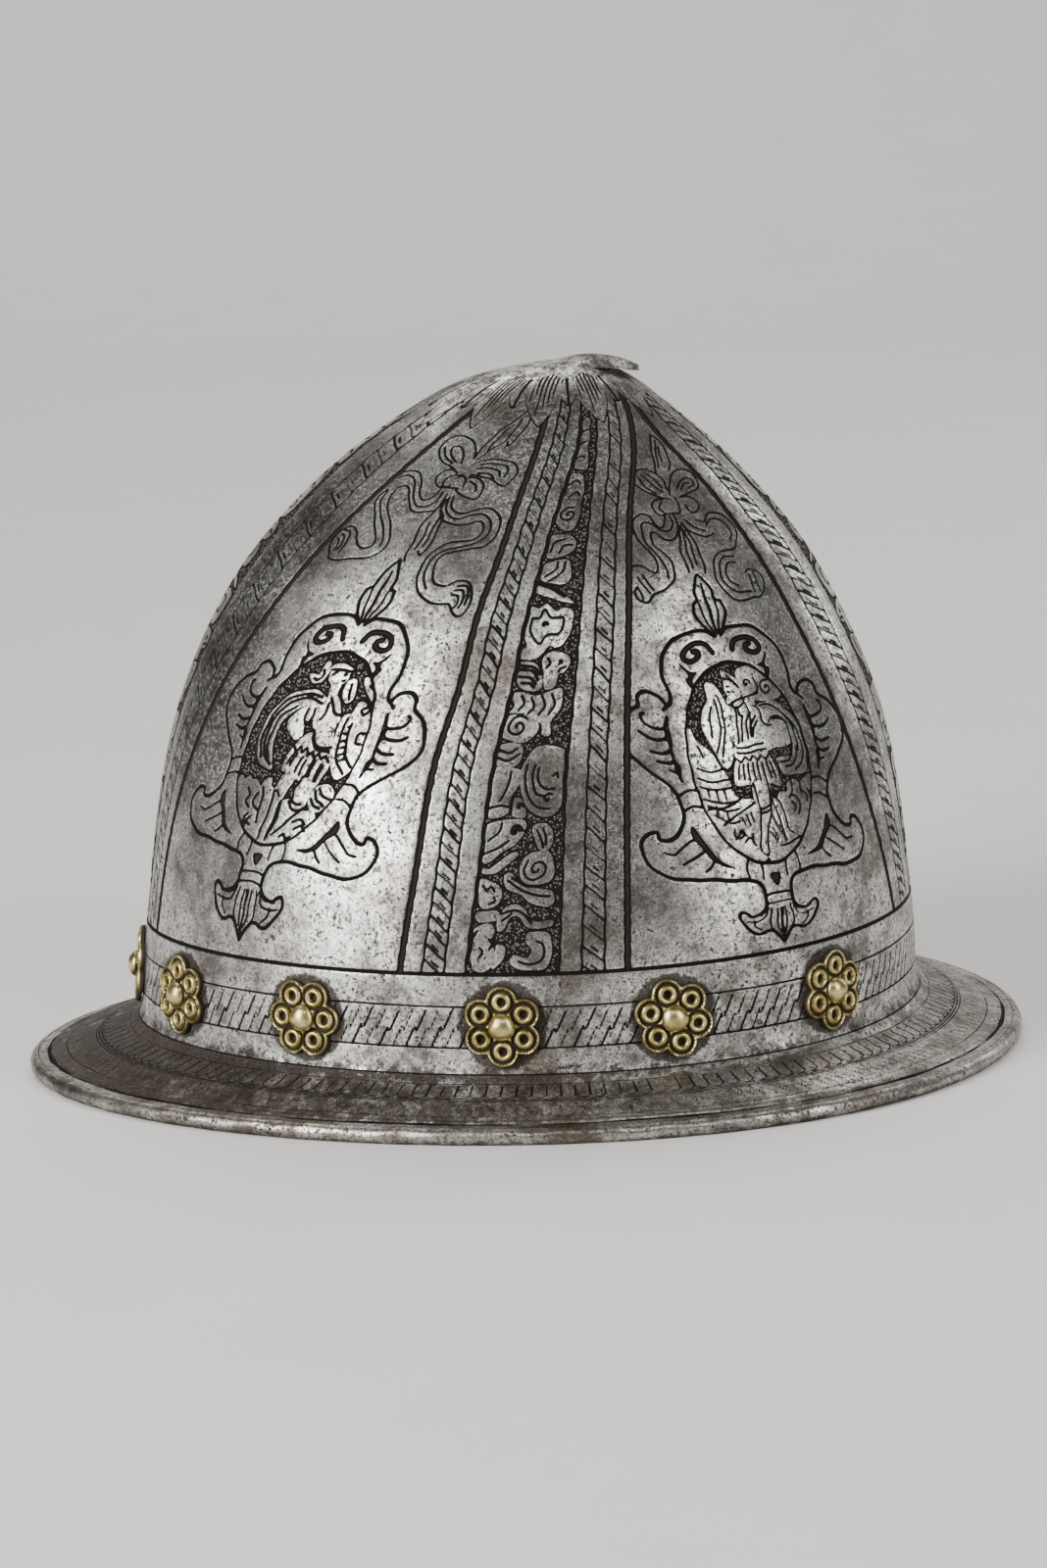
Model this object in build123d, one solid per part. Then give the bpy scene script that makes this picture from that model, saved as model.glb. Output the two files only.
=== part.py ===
from build123d import *
import os
from math import asin, cos, degrees, hypot, pi, radians, sin

# A cabasset: an open steel helmet raised from one sheet, with a narrow brim turned over
# a wire, a bent stalk at the crown, and brass rosettes riveted round its base through a
# leather band that carries a quilted lining. Millimetres. +Z is up, -X is the brow,
# +X the nape, and the origin is on the surface that the brim stands on.

# Brim and turned edge
BRIM_LENGTH = 305.0
BRIM_WIDTH = 240.0
ROLL_RADIUS = 2.6          # outside radius of the edge turned over its wire
ROLL_FLAT = 0.25           # worn off the underside of the turned edge
WIRE_RADIUS = 1.2
WIRE_CLEARANCE = 0.08
EGG_SHARE = 0.115          # how much wider the plan is towards the nape

# Skull
BRIM_REACH_ENDS = 33.5     # how far the brim stands out at the brow and the nape
BRIM_REACH_SIDES = 20.0
FOOT_LENGTH = BRIM_LENGTH - 2 * BRIM_REACH_ENDS
FOOT_WIDTH = BRIM_WIDTH - 2 * BRIM_REACH_SIDES
FOOT_HEIGHT = 20.0         # height where the concave sweep of the brim ends
CROWN_HEIGHT = 211.8
CROWN_LEAN = 28.0          # how far behind the middle the crown lies
WALL = 1.4

# The skull's rise from foot to crown: each row is a height, as a share of the way from
# the foot to the crown, a length and a width, as shares of the foot's, and a lean, as a
# share of the crown's. The rivets stand on the second row.
RISE_SHARES = (
    (0.000, 0.999, 0.999, 0.066),
    (0.055, 0.994, 0.994, 0.078),
    (0.137, 0.982, 0.982, 0.100),
    (0.299, 0.951, 0.936, 0.136),
    (0.455, 0.896, 0.856, 0.157),
    (0.586, 0.812, 0.736, 0.171),
    (0.690, 0.718, 0.621, 0.204),
    (0.784, 0.594, 0.489, 0.250),
    (0.862, 0.463, 0.365, 0.314),
    (0.930, 0.318, 0.240, 0.414),
    (0.965, 0.228, 0.170, 0.500),
    (0.984, 0.147, 0.110, 0.610),
    (0.996, 0.062, 0.047, 0.840),
)
CAP_SHARES = (1.000, 0.016, 0.016, 1.000)
RIVET_ROW = 1
BAND_ROWS = 5              # rows of the rise that the leather band needs

# The brim's sweep from the foot out to the turned edge: each row is a share of the
# brim's width and a share of the drop from the foot to the top of the turned edge.
SWEEP_SHARES = (
    (0.012, 0.140),
    (0.050, 0.290),
    (0.140, 0.420),
    (0.300, 0.555),
    (0.500, 0.700),
    (0.720, 0.860),
    (0.900, 0.975),
)
# The turned edge's outline, from its top outwards and down: degrees up from level.
ROLL_ANGLES = (90.0, 45.0, 0.0, -40.0)

# Lining rivets and rosettes
# Where they stand round the plan, in degrees from the nape, on the wearer's left. They
# repeat on the right, and one more stands at the brow.
RIVET_ANGLES = (41.6, 69.7, 94.2, 124.2, 151.9)
BROW_ANGLE = 180.0
# How each rosette was turned when it was riveted down, in degrees, nape to brow.
CLOCK_ANGLES = (-8.0, 14.0, 0.0, 30.0, 6.0)
SHANK_RADIUS = 1.6
SHANK_CLEARANCE = 0.1
HEAD_RADIUS = 4.0
HEAD_HEIGHT = 2.9
TAIL_RADIUS = 2.7
TAIL_HEIGHT = 1.1
PETALS = 6
PETAL_RADIUS = 4.8
PETAL_CIRCLE = 7.3         # radius of the circle that the petals stand on
HUB_RADIUS = 4.6
PLATE_THICKNESS = 0.9
RELIEF_HEIGHT = 0.6        # of the rim and the rings above the plate
EYE_DEPTH = 0.4            # of the dimples below the plate's face
RIM_WIDTH = 0.8
RING_RADIUS = 2.6
EYE_RADIUS = 1.35
SEAT_GAP = 0.2             # daylight left between pieces that bear on each other
BEND_REACH = 40.0          # length of the columns that the flowers are bent on

# Rove: the washer that each rivet is hammered over, inside
ROVE_RADIUS = 4.4
ROVE_THICKNESS = 0.9
ROVE_GAP = 0.4             # a flat rove bridges the hollow of the leather

# Leather band
BAND_THICKNESS = 2.0
BAND_LOW = 19.5
BAND_HIGH = 45.0
BAND_GAP = 0.25

# Quilted lining
LINING_LOW = 38.0
CROWN_SPACE = 27.8         # left empty between the lining and the crown
LINING_HIGH = CROWN_HEIGHT - CROWN_SPACE
LINING_THICKNESS = 7.0
LINING_GAP = 0.3
CHANNELS = 18
CHANNEL_DEPTH = 2.4        # of the sewn channels between its rolls
# Up the lining: a share of its height, and of its length and its width at the hem.
LINING_SHARES = (
    (0.00, 1.000, 1.000),
    (0.05, 0.990, 0.989),
    (0.12, 0.978, 0.974),
    (0.30, 0.940, 0.925),
    (0.48, 0.870, 0.840),
    (0.64, 0.755, 0.715),
    (0.78, 0.605, 0.560),
    (0.89, 0.425, 0.385),
    (0.96, 0.255, 0.230),
    (0.99, 0.130, 0.115),
    (1.00, 0.040, 0.040),
)

# Stalk
STALK_ROOT = CROWN_LEAN / 2
STALK_LENGTH = 29.0
STALK_WIDTH = 15.0
STALK_THICKNESS = 1.4
STALK_RISE = 2.2           # of its back above the crown
# Along the stalk: a share of its length, of its width, and of its rise.
STALK_SHARES = (
    (0.00, 0.70, -1.00),
    (0.22, 0.95, -0.05),
    (0.45, 1.00, 0.35),
    (0.68, 0.90, 0.05),
    (0.88, 0.62, -0.75),
    (1.00, 0.22, -1.55),
)
ARCH_SHARE = 0.17          # how far its edges are bent down, as a share of its width
EDGE_SHARE = 0.6           # how thick its edges are, as a share of its middle

SECTION_POINTS = 16
POINTS_PER_CHANNEL = 6
OVERRUN = 4.0


def plan_point(station, turn):
    """Point of the egg-shaped outline of a station at an angle from the nape."""
    half_length, half_width, lean, height = station
    egg = EGG_SHARE * min(1, 2 * half_length / FOOT_LENGTH)
    across = -half_width * sin(turn) * (1 + egg * cos(turn))
    return (lean + half_length * cos(turn), across, height)


def plan(station):
    """Closed egg-shaped outline of a station, wider towards the nape."""
    turns = [2 * pi * k / SECTION_POINTS for k in range(SECTION_POINTS)]
    return Wire([Spline(*[plan_point(station, turn) for turn in turns], periodic=True)])


def loft_through(stations):
    """Solid through outlines given as half length, half width, lean and height."""
    return Solid.make_loft([plan(station) for station in stations])


def rise_station(share, length_share, width_share, lean_share):
    return (
        FOOT_LENGTH / 2 * length_share,
        FOOT_WIDTH / 2 * width_share,
        CROWN_LEAN * lean_share,
        FOOT_HEIGHT + (CROWN_HEIGHT - FOOT_HEIGHT) * share,
    )


def rise_stations():
    return [rise_station(*row) for row in RISE_SHARES]


def roll_station(angle, radius):
    """Outline of the turned edge at an angle round it and a radius from its middle."""
    inset = ROLL_RADIUS - radius * cos(radians(angle))
    return (
        BRIM_LENGTH / 2 - inset,
        BRIM_WIDTH / 2 - inset,
        0.0,
        ROLL_RADIUS - ROLL_FLAT + radius * sin(radians(angle)),
    )


def flat_angle():
    """How far below level the turned edge meets the ground."""
    return degrees(asin(1 - ROLL_FLAT / ROLL_RADIUS))


def sweep_stations():
    """The brim's upper face, from the turned edge in to the foot."""
    edge = roll_station(ROLL_ANGLES[0], ROLL_RADIUS)
    foot = rise_stations()[0]
    rows = []
    for out, down in reversed(SWEEP_SHARES):
        row = [a + (b - a) * out for a, b in zip(foot[:3], edge[:3])]
        rows.append((*row, foot[3] + (edge[3] - foot[3]) * down))
    return rows


def outer_stations():
    return sweep_stations() + rise_stations()


def offset_stations(stations, depth):
    """Stations moved square to the profile, into the sheet, by a depth."""
    moved = []
    for k, (length, width, lean, height) in enumerate(stations):
        before = stations[max(k - 1, 0)]
        after = stations[min(k + 1, len(stations) - 1)]
        run = after[0] - before[0]
        climb = after[3] - before[3]
        reach = hypot(run, climb)
        inward = depth * climb / reach
        down = depth * run / reach
        moved.append((length - inward, width - inward, lean, height + down))
    return moved


def loft_in_two(stations, split):
    """Solid through outlines, lofted in two parts that meet at one of them."""
    return loft_through(stations[: split + 1]) + loft_through(stations[split:])


def skull_block():
    """The helmet's outside, filled, from the ground up over the turned edge."""
    angles = [-flat_angle(), *reversed(ROLL_ANGLES)]
    edge = [roll_station(angle, ROLL_RADIUS) for angle in angles]
    rows = edge + outer_stations() + [rise_station(*CAP_SHARES)]
    return loft_in_two(rows, len(edge) + len(SWEEP_SHARES))


def skull_hollow():
    """The space inside the skull and under the brim."""
    lip = roll_station(180 + flat_angle(), ROLL_RADIUS)
    mouth = [
        (*lip[:3], -OVERRUN),
        lip,
        roll_station(180, ROLL_RADIUS),
    ]
    cap = rise_station(*CAP_SHARES)
    inner = offset_stations(outer_stations(), WALL)
    rows = mouth + inner + [(*cap[:3], cap[3] - WALL)]
    return loft_in_two(rows, len(mouth) + len(SWEEP_SHARES))


def edge_tube(radius):
    """A round tube that runs along the middle of the turned edge."""
    middle = roll_station(0, 0)
    start = Plane(
        origin=(middle[2] + middle[0], 0, middle[3]), x_dir=(1, 0, 0), z_dir=(0, 1, 0)
    )
    return sweep(start * Circle(radius), path=plan(middle))


def stalk_face(x, width, top):
    """Upright slice of the stalk: a thin crescent, bent down at both edges."""
    half = width / 2
    drop = width * ARCH_SHARE
    edge = STALK_THICKNESS * EDGE_SHARE
    spot = Plane(origin=(x, 0, top), x_dir=(0, 1, 0), z_dir=(1, 0, 0))
    back = ThreePointArc((-half, -drop), (0, 0), (half, -drop))
    right = Line((half, -drop), (half, -drop - edge))
    hollow = ThreePointArc(
        (half, -drop - edge), (0, -STALK_THICKNESS), (-half, -drop - edge)
    )
    left = Line((-half, -drop - edge), (-half, -drop))
    return spot * make_face(Wire([back, right, hollow, left]))


def stalk():
    """The drawn-out tip of the sheet, flattened and bent back over the crown."""
    faces = []
    for along, width_share, rise_share in STALK_SHARES:
        x = STALK_ROOT + STALK_LENGTH * along
        top = CROWN_HEIGHT + STALK_RISE * rise_share
        faces.append(stalk_face(x, STALK_WIDTH * width_share, top))
    return loft(faces)


def seat_plane(angle):
    """Plane on the skull's outer face at a rivet, its Z out of the sheet and X level."""
    turn = radians(angle)
    step = radians(1)
    rows = rise_stations()
    point = Vector(*plan_point(rows[RIVET_ROW], turn))
    level = Vector(*plan_point(rows[RIVET_ROW], turn + step)) - Vector(
        *plan_point(rows[RIVET_ROW], turn - step)
    )
    upward = Vector(*plan_point(rows[RIVET_ROW + 1], turn)) - Vector(
        *plan_point(rows[RIVET_ROW - 1], turn)
    )
    normal = upward.cross(level)
    if normal.dot(Vector(cos(turn), -sin(turn), 0)) < 0:
        normal = -normal
    flat = Vector(0, 0, 1).cross(normal)
    return Plane(origin=point, x_dir=flat, z_dir=normal)


def bend_radius(angle):
    """Radius of the skull's plan at a rivet, from three points the flower spans."""
    station = rise_stations()[RIVET_ROW]
    spread = PETAL_CIRCLE / station[0]
    before, seat, after = [
        Vector(*plan_point(station, radians(angle) + side)) for side in (-spread, 0, spread)
    ]
    sag = ((before + after) * 0.5 - seat).length
    half_chord = (after - before).length / 2
    return (half_chord * half_chord + sag * sag) / (2 * sag)


def bent_block(radius, gap):
    """Upright round column whose side stands proud of the seat by a gap."""
    column = Cylinder(radius + gap, BEND_REACH, rotation=(90, 0, 0))
    return Pos(0, 0, -radius) * column


def petals(clock, radius):
    """Circles of a radius, one at the middle of each petal."""
    discs = Sketch()
    for k in range(PETALS):
        turn = radians(clock + 360 * k / PETALS) + pi / 2
        discs += Pos(PETAL_CIRCLE * cos(turn), PETAL_CIRCLE * sin(turn)) * Circle(radius)
    return discs


def prism(outline):
    return extrude(outline, amount=OVERRUN, both=True)


def rosette(angle, clock):
    """A brass flower bent to the skull: lobed rim, ringed eyes, and a hub."""
    bend = bend_radius(angle)
    plate = SEAT_GAP + PLATE_THICKNESS
    lobes = petals(clock, PETAL_RADIUS) + Circle(HUB_RADIUS)
    pocket = petals(clock, PETAL_RADIUS - RIM_WIDTH) - petals(clock, RING_RADIUS)
    pocket -= Circle(HUB_RADIUS)
    flower = prism(lobes) & bent_block(bend, plate + RELIEF_HEIGHT)
    flower -= bent_block(bend, SEAT_GAP)
    flower -= prism(pocket) - bent_block(bend, plate)
    flower -= prism(petals(clock, EYE_RADIUS)) - bent_block(bend, plate - EYE_DEPTH)
    return flower - Cylinder(SHANK_RADIUS + SHANK_CLEARANCE, 2 * OVERRUN)


def dome(radius, height):
    """A cap of a ball, flat side down on z = 0."""
    ball = (radius * radius + height * height) / (2 * height)
    cap = Pos(0, 0, height - ball) * Sphere(ball)
    keep = Pos(0, 0, height / 2) * Cylinder(radius, height)
    return cap & keep


def stack_depth():
    """From the skull's outside to the inner face of the rove."""
    return WALL + BAND_GAP + BAND_THICKNESS + ROVE_GAP + ROVE_THICKNESS


def rivet():
    """Domed head outside, shank through the whole stack, and a hammered tail."""
    top = SEAT_GAP + PLATE_THICKNESS + RELIEF_HEIGHT + SEAT_GAP
    bottom = -(stack_depth() + SEAT_GAP)
    head = Pos(0, 0, top) * dome(HEAD_RADIUS, HEAD_HEIGHT)
    tail = Pos(0, 0, bottom) * Rot(180, 0, 0) * dome(TAIL_RADIUS, TAIL_HEIGHT)
    shank = Pos(0, 0, (top + bottom) / 2) * Cylinder(SHANK_RADIUS, top - bottom)
    return head + shank + tail


def rove():
    disc = Cylinder(ROVE_RADIUS, ROVE_THICKNESS)
    disc -= Cylinder(SHANK_RADIUS + SHANK_CLEARANCE, ROVE_THICKNESS + OVERRUN)
    return Pos(0, 0, -(stack_depth() - ROVE_THICKNESS / 2)) * disc


def inner_slice(depth, low, high):
    """The skull's inside at a depth below its outer face, cut level at two heights."""
    length, width, lean, height = rise_station(*RISE_SHARES[0])
    below = (length, width, lean, BAND_LOW - 2 * OVERRUN)
    rows = [below] + rise_stations()[:BAND_ROWS]
    whole = loft_through(offset_stations(rows, depth))
    span = 2 * BRIM_LENGTH
    keep = Pos(0, 0, (low + high) / 2) * Box(span, span, high - low)
    return whole & keep


def leather_band():
    outside = inner_slice(WALL + BAND_GAP, BAND_LOW, BAND_HIGH)
    inside = inner_slice(
        WALL + BAND_GAP + BAND_THICKNESS, BAND_LOW - OVERRUN, BAND_HIGH + OVERRUN
    )
    return outside - inside


def hem_station():
    """Half length, half width and lean of the lining's outside at its hem."""
    part = (LINING_LOW - FOOT_HEIGHT) / (CROWN_HEIGHT - FOOT_HEIGHT)
    low, high = RISE_SHARES[RIVET_ROW], RISE_SHARES[RIVET_ROW + 1]
    way = (part - low[0]) / (high[0] - low[0])
    row = rise_station(*[a + (b - a) * way for a, b in zip(low, high)])
    inset = WALL + BAND_GAP + BAND_THICKNESS + LINING_GAP
    return row[0] - inset, row[1] - inset, row[2]


def lining_stations(inset):
    """The lining's face at an inset from its outside, from its hem to its crown."""
    length, width, lean = hem_station()
    tall = LINING_HIGH - LINING_LOW - inset
    rows = []
    for share, length_share, width_share in LINING_SHARES:
        rows.append(
            (
                (length - inset) * length_share,
                (width - inset) * width_share,
                lean + (CROWN_LEAN * RISE_SHARES[BAND_ROWS][3] - lean) * share,
                LINING_LOW + tall * share,
            )
        )
    return rows


def quilted_plan(station, full):
    """Outline pressed in between each sewn channel, by less where it is small."""
    half_length = station[0]
    count = CHANNELS * POINTS_PER_CHANNEL
    corners = []
    for k in range(count):
        turn = 2 * pi * k / count
        x, y, height = plan_point(station, turn)
        roll = abs(sin(CHANNELS * turn / 2))
        press = 1 - CHANNEL_DEPTH * roll / full
        corners.append(
            (station[2] + (x - station[2]) * press, y * press, height)
        )
    return Wire([Spline(*corners, periodic=True)])


def lining():
    """The quilted cap that hangs from the leather band, hollow for the head."""
    outside = loft_through(lining_stations(0.0))
    rows = lining_stations(LINING_THICKNESS - CHANNEL_DEPTH)
    length, width, lean, height = rows[0]
    rows.insert(0, (length, width, lean, LINING_LOW - OVERRUN))
    inside = Solid.make_loft([quilted_plan(row, length) for row in rows])
    return outside - inside


def main():
    os.makedirs("parts", exist_ok=True)
    clocks = dict(zip(RIVET_ANGLES, CLOCK_ANGLES)) | {BROW_ANGLE: 0.0}
    seats = {angle: seat_plane(angle) for angle in clocks}
    planes = list(seats.values()) + [seat_plane(-angle) for angle in RIVET_ANGLES]
    shank_hole = Cylinder(SHANK_RADIUS + SHANK_CLEARANCE, 6 * OVERRUN)
    drills = [plane * shank_hole for plane in planes]

    shell = skull_block() - skull_hollow()
    shell = shell - edge_tube(WIRE_RADIUS + WIRE_CLEARANCE)
    shell = shell + stalk()
    nodes = {
        "skull": shell - drills,
        "brim_wire": edge_tube(WIRE_RADIUS),
        "lining_band": leather_band() - drills,
        "lining": lining(),
        "lining_rivets": Compound([plane * rivet() for plane in planes]),
        "rivet_roves": Compound([plane * rove() for plane in planes]),
        "rosette_brow": seats[BROW_ANGLE] * rosette(BROW_ANGLE, clocks[BROW_ANGLE]),
    }
    for number, angle in enumerate(reversed(RIVET_ANGLES), start=1):
        flower = seats[angle] * rosette(angle, clocks[angle])
        nodes[f"rosette_left_{number}"] = flower
        nodes[f"rosette_right_{number}"] = mirror(flower, about=Plane.XZ)
    for name, shape in nodes.items():
        export_step(shape, f"parts/{name}.step")


if __name__ == "__main__":
    main()
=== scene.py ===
from functools import partial
from math import cos, pi, radians, sin

import bpy
import numpy as np
from mathutils import Matrix, Vector


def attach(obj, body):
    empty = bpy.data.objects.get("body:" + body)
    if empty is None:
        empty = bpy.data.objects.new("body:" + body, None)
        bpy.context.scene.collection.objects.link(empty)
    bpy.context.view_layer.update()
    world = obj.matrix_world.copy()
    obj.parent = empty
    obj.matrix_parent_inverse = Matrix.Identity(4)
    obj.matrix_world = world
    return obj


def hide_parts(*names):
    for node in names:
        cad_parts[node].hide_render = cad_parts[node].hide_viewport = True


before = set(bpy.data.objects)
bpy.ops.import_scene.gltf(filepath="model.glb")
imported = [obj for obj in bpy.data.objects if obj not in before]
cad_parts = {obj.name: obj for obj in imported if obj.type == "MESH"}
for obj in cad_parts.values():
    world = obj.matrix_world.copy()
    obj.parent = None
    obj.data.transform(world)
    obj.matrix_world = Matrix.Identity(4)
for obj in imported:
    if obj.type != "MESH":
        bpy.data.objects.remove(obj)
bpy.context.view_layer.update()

# The skull: one sheet of mild steel, raised by hammer over stakes, then filed, polished
# and etched. It is worked out as eight staves that meet in its heavy grooves: four narrow
# bands, at the brow, both sides and the nape, and four panels between them.
MM = 0.001
BRIM_LENGTH, BRIM_WIDTH = 305.0, 240.0
ROLL_RADIUS, ROLL_FLAT = 2.6, 0.25
EGG_SHARE = 0.115
FOOT_LENGTH, FOOT_WIDTH, FOOT_HEIGHT = 238.0, 200.0, 20.0
CROWN_HEIGHT, CROWN_LEAN = 211.8, 28.0
WALL = 1.4
# Up the skull: height, length, width and lean, as shares of the foot's and the crown's.
RISE_SHARES = np.array([
    (0.000, 0.999, 0.999, 0.066), (0.055, 0.994, 0.994, 0.078),
    (0.137, 0.982, 0.982, 0.100), (0.299, 0.951, 0.936, 0.136),
    (0.455, 0.896, 0.856, 0.157), (0.586, 0.812, 0.736, 0.171),
    (0.690, 0.718, 0.621, 0.204), (0.784, 0.594, 0.489, 0.250),
    (0.862, 0.463, 0.365, 0.314), (0.930, 0.318, 0.240, 0.414),
    (0.965, 0.228, 0.170, 0.500), (0.984, 0.147, 0.110, 0.610),
    (0.996, 0.062, 0.047, 0.840), (1.000, 0.016, 0.016, 1.000)])
# Down the brim: how far out, and how far down.
SWEEP_SHARES = np.array([
    (0.012, 0.140), (0.050, 0.290), (0.140, 0.420), (0.300, 0.555),
    (0.500, 0.700), (0.720, 0.860), (0.900, 0.975), (1.000, 1.000)])


def stations():
    """Half length, half width, lean and height of the outlines, roll top to crown."""
    low, ends = RISE_SHARES[:, 0], (FOOT_LENGTH / 2, FOOT_WIDTH / 2, CROWN_LEAN)
    rise = np.column_stack([RISE_SHARES[:, 1] * ends[0], RISE_SHARES[:, 2] * ends[1],
                            RISE_SHARES[:, 3] * ends[2],
                            FOOT_HEIGHT + (CROWN_HEIGHT - FOOT_HEIGHT) * low])
    edge = np.array([BRIM_LENGTH / 2 - ROLL_RADIUS, BRIM_WIDTH / 2 - ROLL_RADIUS, 0.0,
                     2 * ROLL_RADIUS - ROLL_FLAT])
    share = SWEEP_SHARES[:, [0, 0, 0, 1]]
    sweep = rise[0] + (edge - rise[0]) * share
    return np.concatenate([sweep[::-1], rise])


def spline(knots, values, where):
    """Cubic curve through values at knots, straight at both ends, read at where."""
    gap, count = np.diff(knots), len(knots)
    grid, right = np.eye(count), np.zeros_like(values, dtype=float)
    for k in range(1, count - 1):
        grid[k, k - 1:k + 2] = gap[k - 1], 2 * (gap[k - 1] + gap[k]), gap[k]
        right[k] = 6 * ((values[k + 1] - values[k]) / gap[k]
                        - (values[k] - values[k - 1]) / gap[k - 1])
    bend = np.linalg.solve(grid, right)
    k = np.clip(np.searchsorted(knots, where) - 1, 0, count - 2)
    extra = (...,) + (None,) * (values.ndim - 1)
    before, after, wide = (knots[k + 1] - where)[extra], (where - knots[k])[extra], gap[k][extra]
    return (bend[k] * before ** 3 / (6 * wide) + bend[k + 1] * after ** 3 / (6 * wide)
            + (values[k] / wide - bend[k] * wide / 6) * before
            + (values[k + 1] / wide - bend[k + 1] * wide / 6) * after)


ROWS = stations()
LENGTHS = np.concatenate([[0], np.cumsum(np.hypot(np.diff(ROWS[:, 0]), np.diff(ROWS[:, 3])))])
FOOT_AT = LENGTHS[len(SWEEP_SHARES)]
CROWN_AT = LENGTHS[-1] - FOOT_AT


def outline(station, turn):
    """Egg-shaped plan: an ellipse whose width grows with the cosine of the turn."""
    length, width, lean, height = np.moveaxis(station, -1, 0)
    egg = EGG_SHARE * np.minimum(1, 2 * length / FOOT_LENGTH)
    across = -width * np.sin(turn) * (1 + egg * np.cos(turn))
    parts = np.broadcast_arrays(lean + length * np.cos(turn), across, height)
    return np.stack(parts, -1)


def skin(turn, up):
    """The steel's outer face at a turn from the nape and a length up from the foot."""
    return outline(spline(LENGTHS, ROWS, np.asarray(up, float) + FOOT_AT), turn)


def facing(points):
    """Unit normals of a grid: the cross of its steps along columns and along rows."""
    normal = np.cross(np.gradient(points, axis=0), np.gradient(points, axis=1))
    return normal / np.maximum(np.linalg.norm(normal, axis=-1, keepdims=True), 1e-9)


def put(name, points, faces, fields=None, flip=False, crease=55):
    """A mesh piece from points in millimetres, arrays of faces and named point fields."""
    points = np.asarray(points, float).reshape(-1, 3) * MM
    if flip:
        points = points * (1, -1, 1)
        faces = [face[:, ::-1] for face in faces]
    sizes = np.concatenate([np.full(len(face), face.shape[1]) for face in faces])
    corners = np.concatenate([face.ravel() for face in faces]).astype(np.int32)
    mesh = bpy.data.meshes.new(name)
    mesh.vertices.add(len(points))
    mesh.vertices.foreach_set("co", points.astype(np.float32).ravel())
    mesh.loops.add(len(corners))
    mesh.loops.foreach_set("vertex_index", corners)
    mesh.polygons.add(len(sizes))
    starts = np.concatenate([[0], np.cumsum(sizes)[:-1]]).astype(np.int32)
    mesh.polygons.foreach_set("loop_start", starts)
    mesh.update(calc_edges=True)
    mesh.validate()
    for title, values in (fields or {}).items():
        layer = mesh.attributes.new(title, "FLOAT", "POINT")
        layer.data.foreach_set("value", np.asarray(values, np.float32).ravel())
    mesh.shade_smooth()
    mesh.set_sharp_from_angle(angle=radians(crease))
    piece = bpy.data.objects.new(name, mesh)
    bpy.context.scene.collection.objects.link(piece)
    return piece


# Engraving is worked out as two fields over the unrolled sheet, in millimetres: how far a
# point lies from the nearest cut line, and how far from the sunk, stippled ground. Each
# line and each figure below was laid out on the unrolled sheet.
REACH = 3.0
FINE, MIDDLE, BOLD = 0.66, 0.95, 1.1


def curve(points, closed=False, steps=5):
    """Smooth curve through set points: cubics whose slopes follow the points beside."""
    p = np.array(points, float)
    if len(p) < 3 or steps == 1:
        return np.concatenate([p, p[:1]]) if closed else p
    if closed:
        p = np.concatenate([p[-1:], p, p[:2]])
    else:
        p = np.concatenate([2 * p[:1] - p[1:2], p, 2 * p[-1:] - p[-2:-1]])
    a, b, c, d = p[:-3], p[1:-2], p[2:-1], p[3:]
    t = np.linspace(0, 1, steps, endpoint=False)[:, None, None]
    path = (b + 0.5 * (c - a) * t + (a - 2.5 * b + 2 * c - 0.5 * d) * t ** 2
            + (1.5 * (b - c) + 0.5 * (d - a)) * t ** 3)
    return np.concatenate([path.transpose(1, 0, 2).reshape(-1, 2), c[-1:]])


def reach(u, v, path):
    """Least distance of every point to a path of straight steps."""
    best = np.full(u.shape, 9 * REACH)
    for p, q in zip(path[:-1], path[1:]):
        step = q - p
        along = ((u - p[0]) * step[0] + (v - p[1]) * step[1]) / max(step @ step, 1e-9)
        along = np.clip(along, 0, 1)
        best = np.minimum(best, np.hypot(u - p[0] - along * step[0], v - p[1] - along * step[1]))
    return best


def window(at, path):
    """Which points lie in a path's box, grown by REACH on every side."""
    low, high = path.min(0) - REACH, path.max(0) + REACH
    return (at[0] > low[0]) & (at[0] < high[0]) & (at[1] > low[1]) & (at[1] < high[1])


def cut(line, at, points, width=FINE, closed=False, steps=5):
    """Lowers the line field to the distance to one stroke, less half its width."""
    path = curve(points, closed, steps)
    near = window(at, path)
    line[near] = np.minimum(line[near], reach(at[0][near], at[1][near], path) - width / 2)


def shape(solid, at, points, steps=4):
    """Lowers the solid field to one closed figure's distance, negative inside it."""
    path = curve(points, True, steps)
    near = window(at, path)
    u, v = at[0][near], at[1][near]
    odd = np.zeros(u.shape, bool)
    for p, q in zip(path[:-1], path[1:]):
        rise = q[1] - p[1]
        crossing = p[0] + (v - p[1]) * (q[0] - p[0]) / (rise if rise else 1)
        odd ^= ((p[1] > v) != (q[1] > v)) & (u < crossing)
    away = reach(u, v, path)
    solid[near] = np.minimum(solid[near], np.where(odd, -away, away))


def spiral(middle, radius, turns, start=0.0):
    """Points of a curl, eight to a turn, that winds in evenly to a tenth of its radius."""
    share = np.linspace(0, 1, int(8 * turns) + 2)
    angle = start + 2 * pi * turns * share
    size = radius * (1 - 0.9 * share)
    return np.column_stack([middle[0] + size * np.cos(angle), middle[1] + size * np.sin(angle)])



def ease(x, low, high):
    """Nought below low, one above high, and a smooth S between."""
    t = np.clip((x - low) / (high - low), 0, 1)
    return t * t * (3 - 2 * t)


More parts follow.
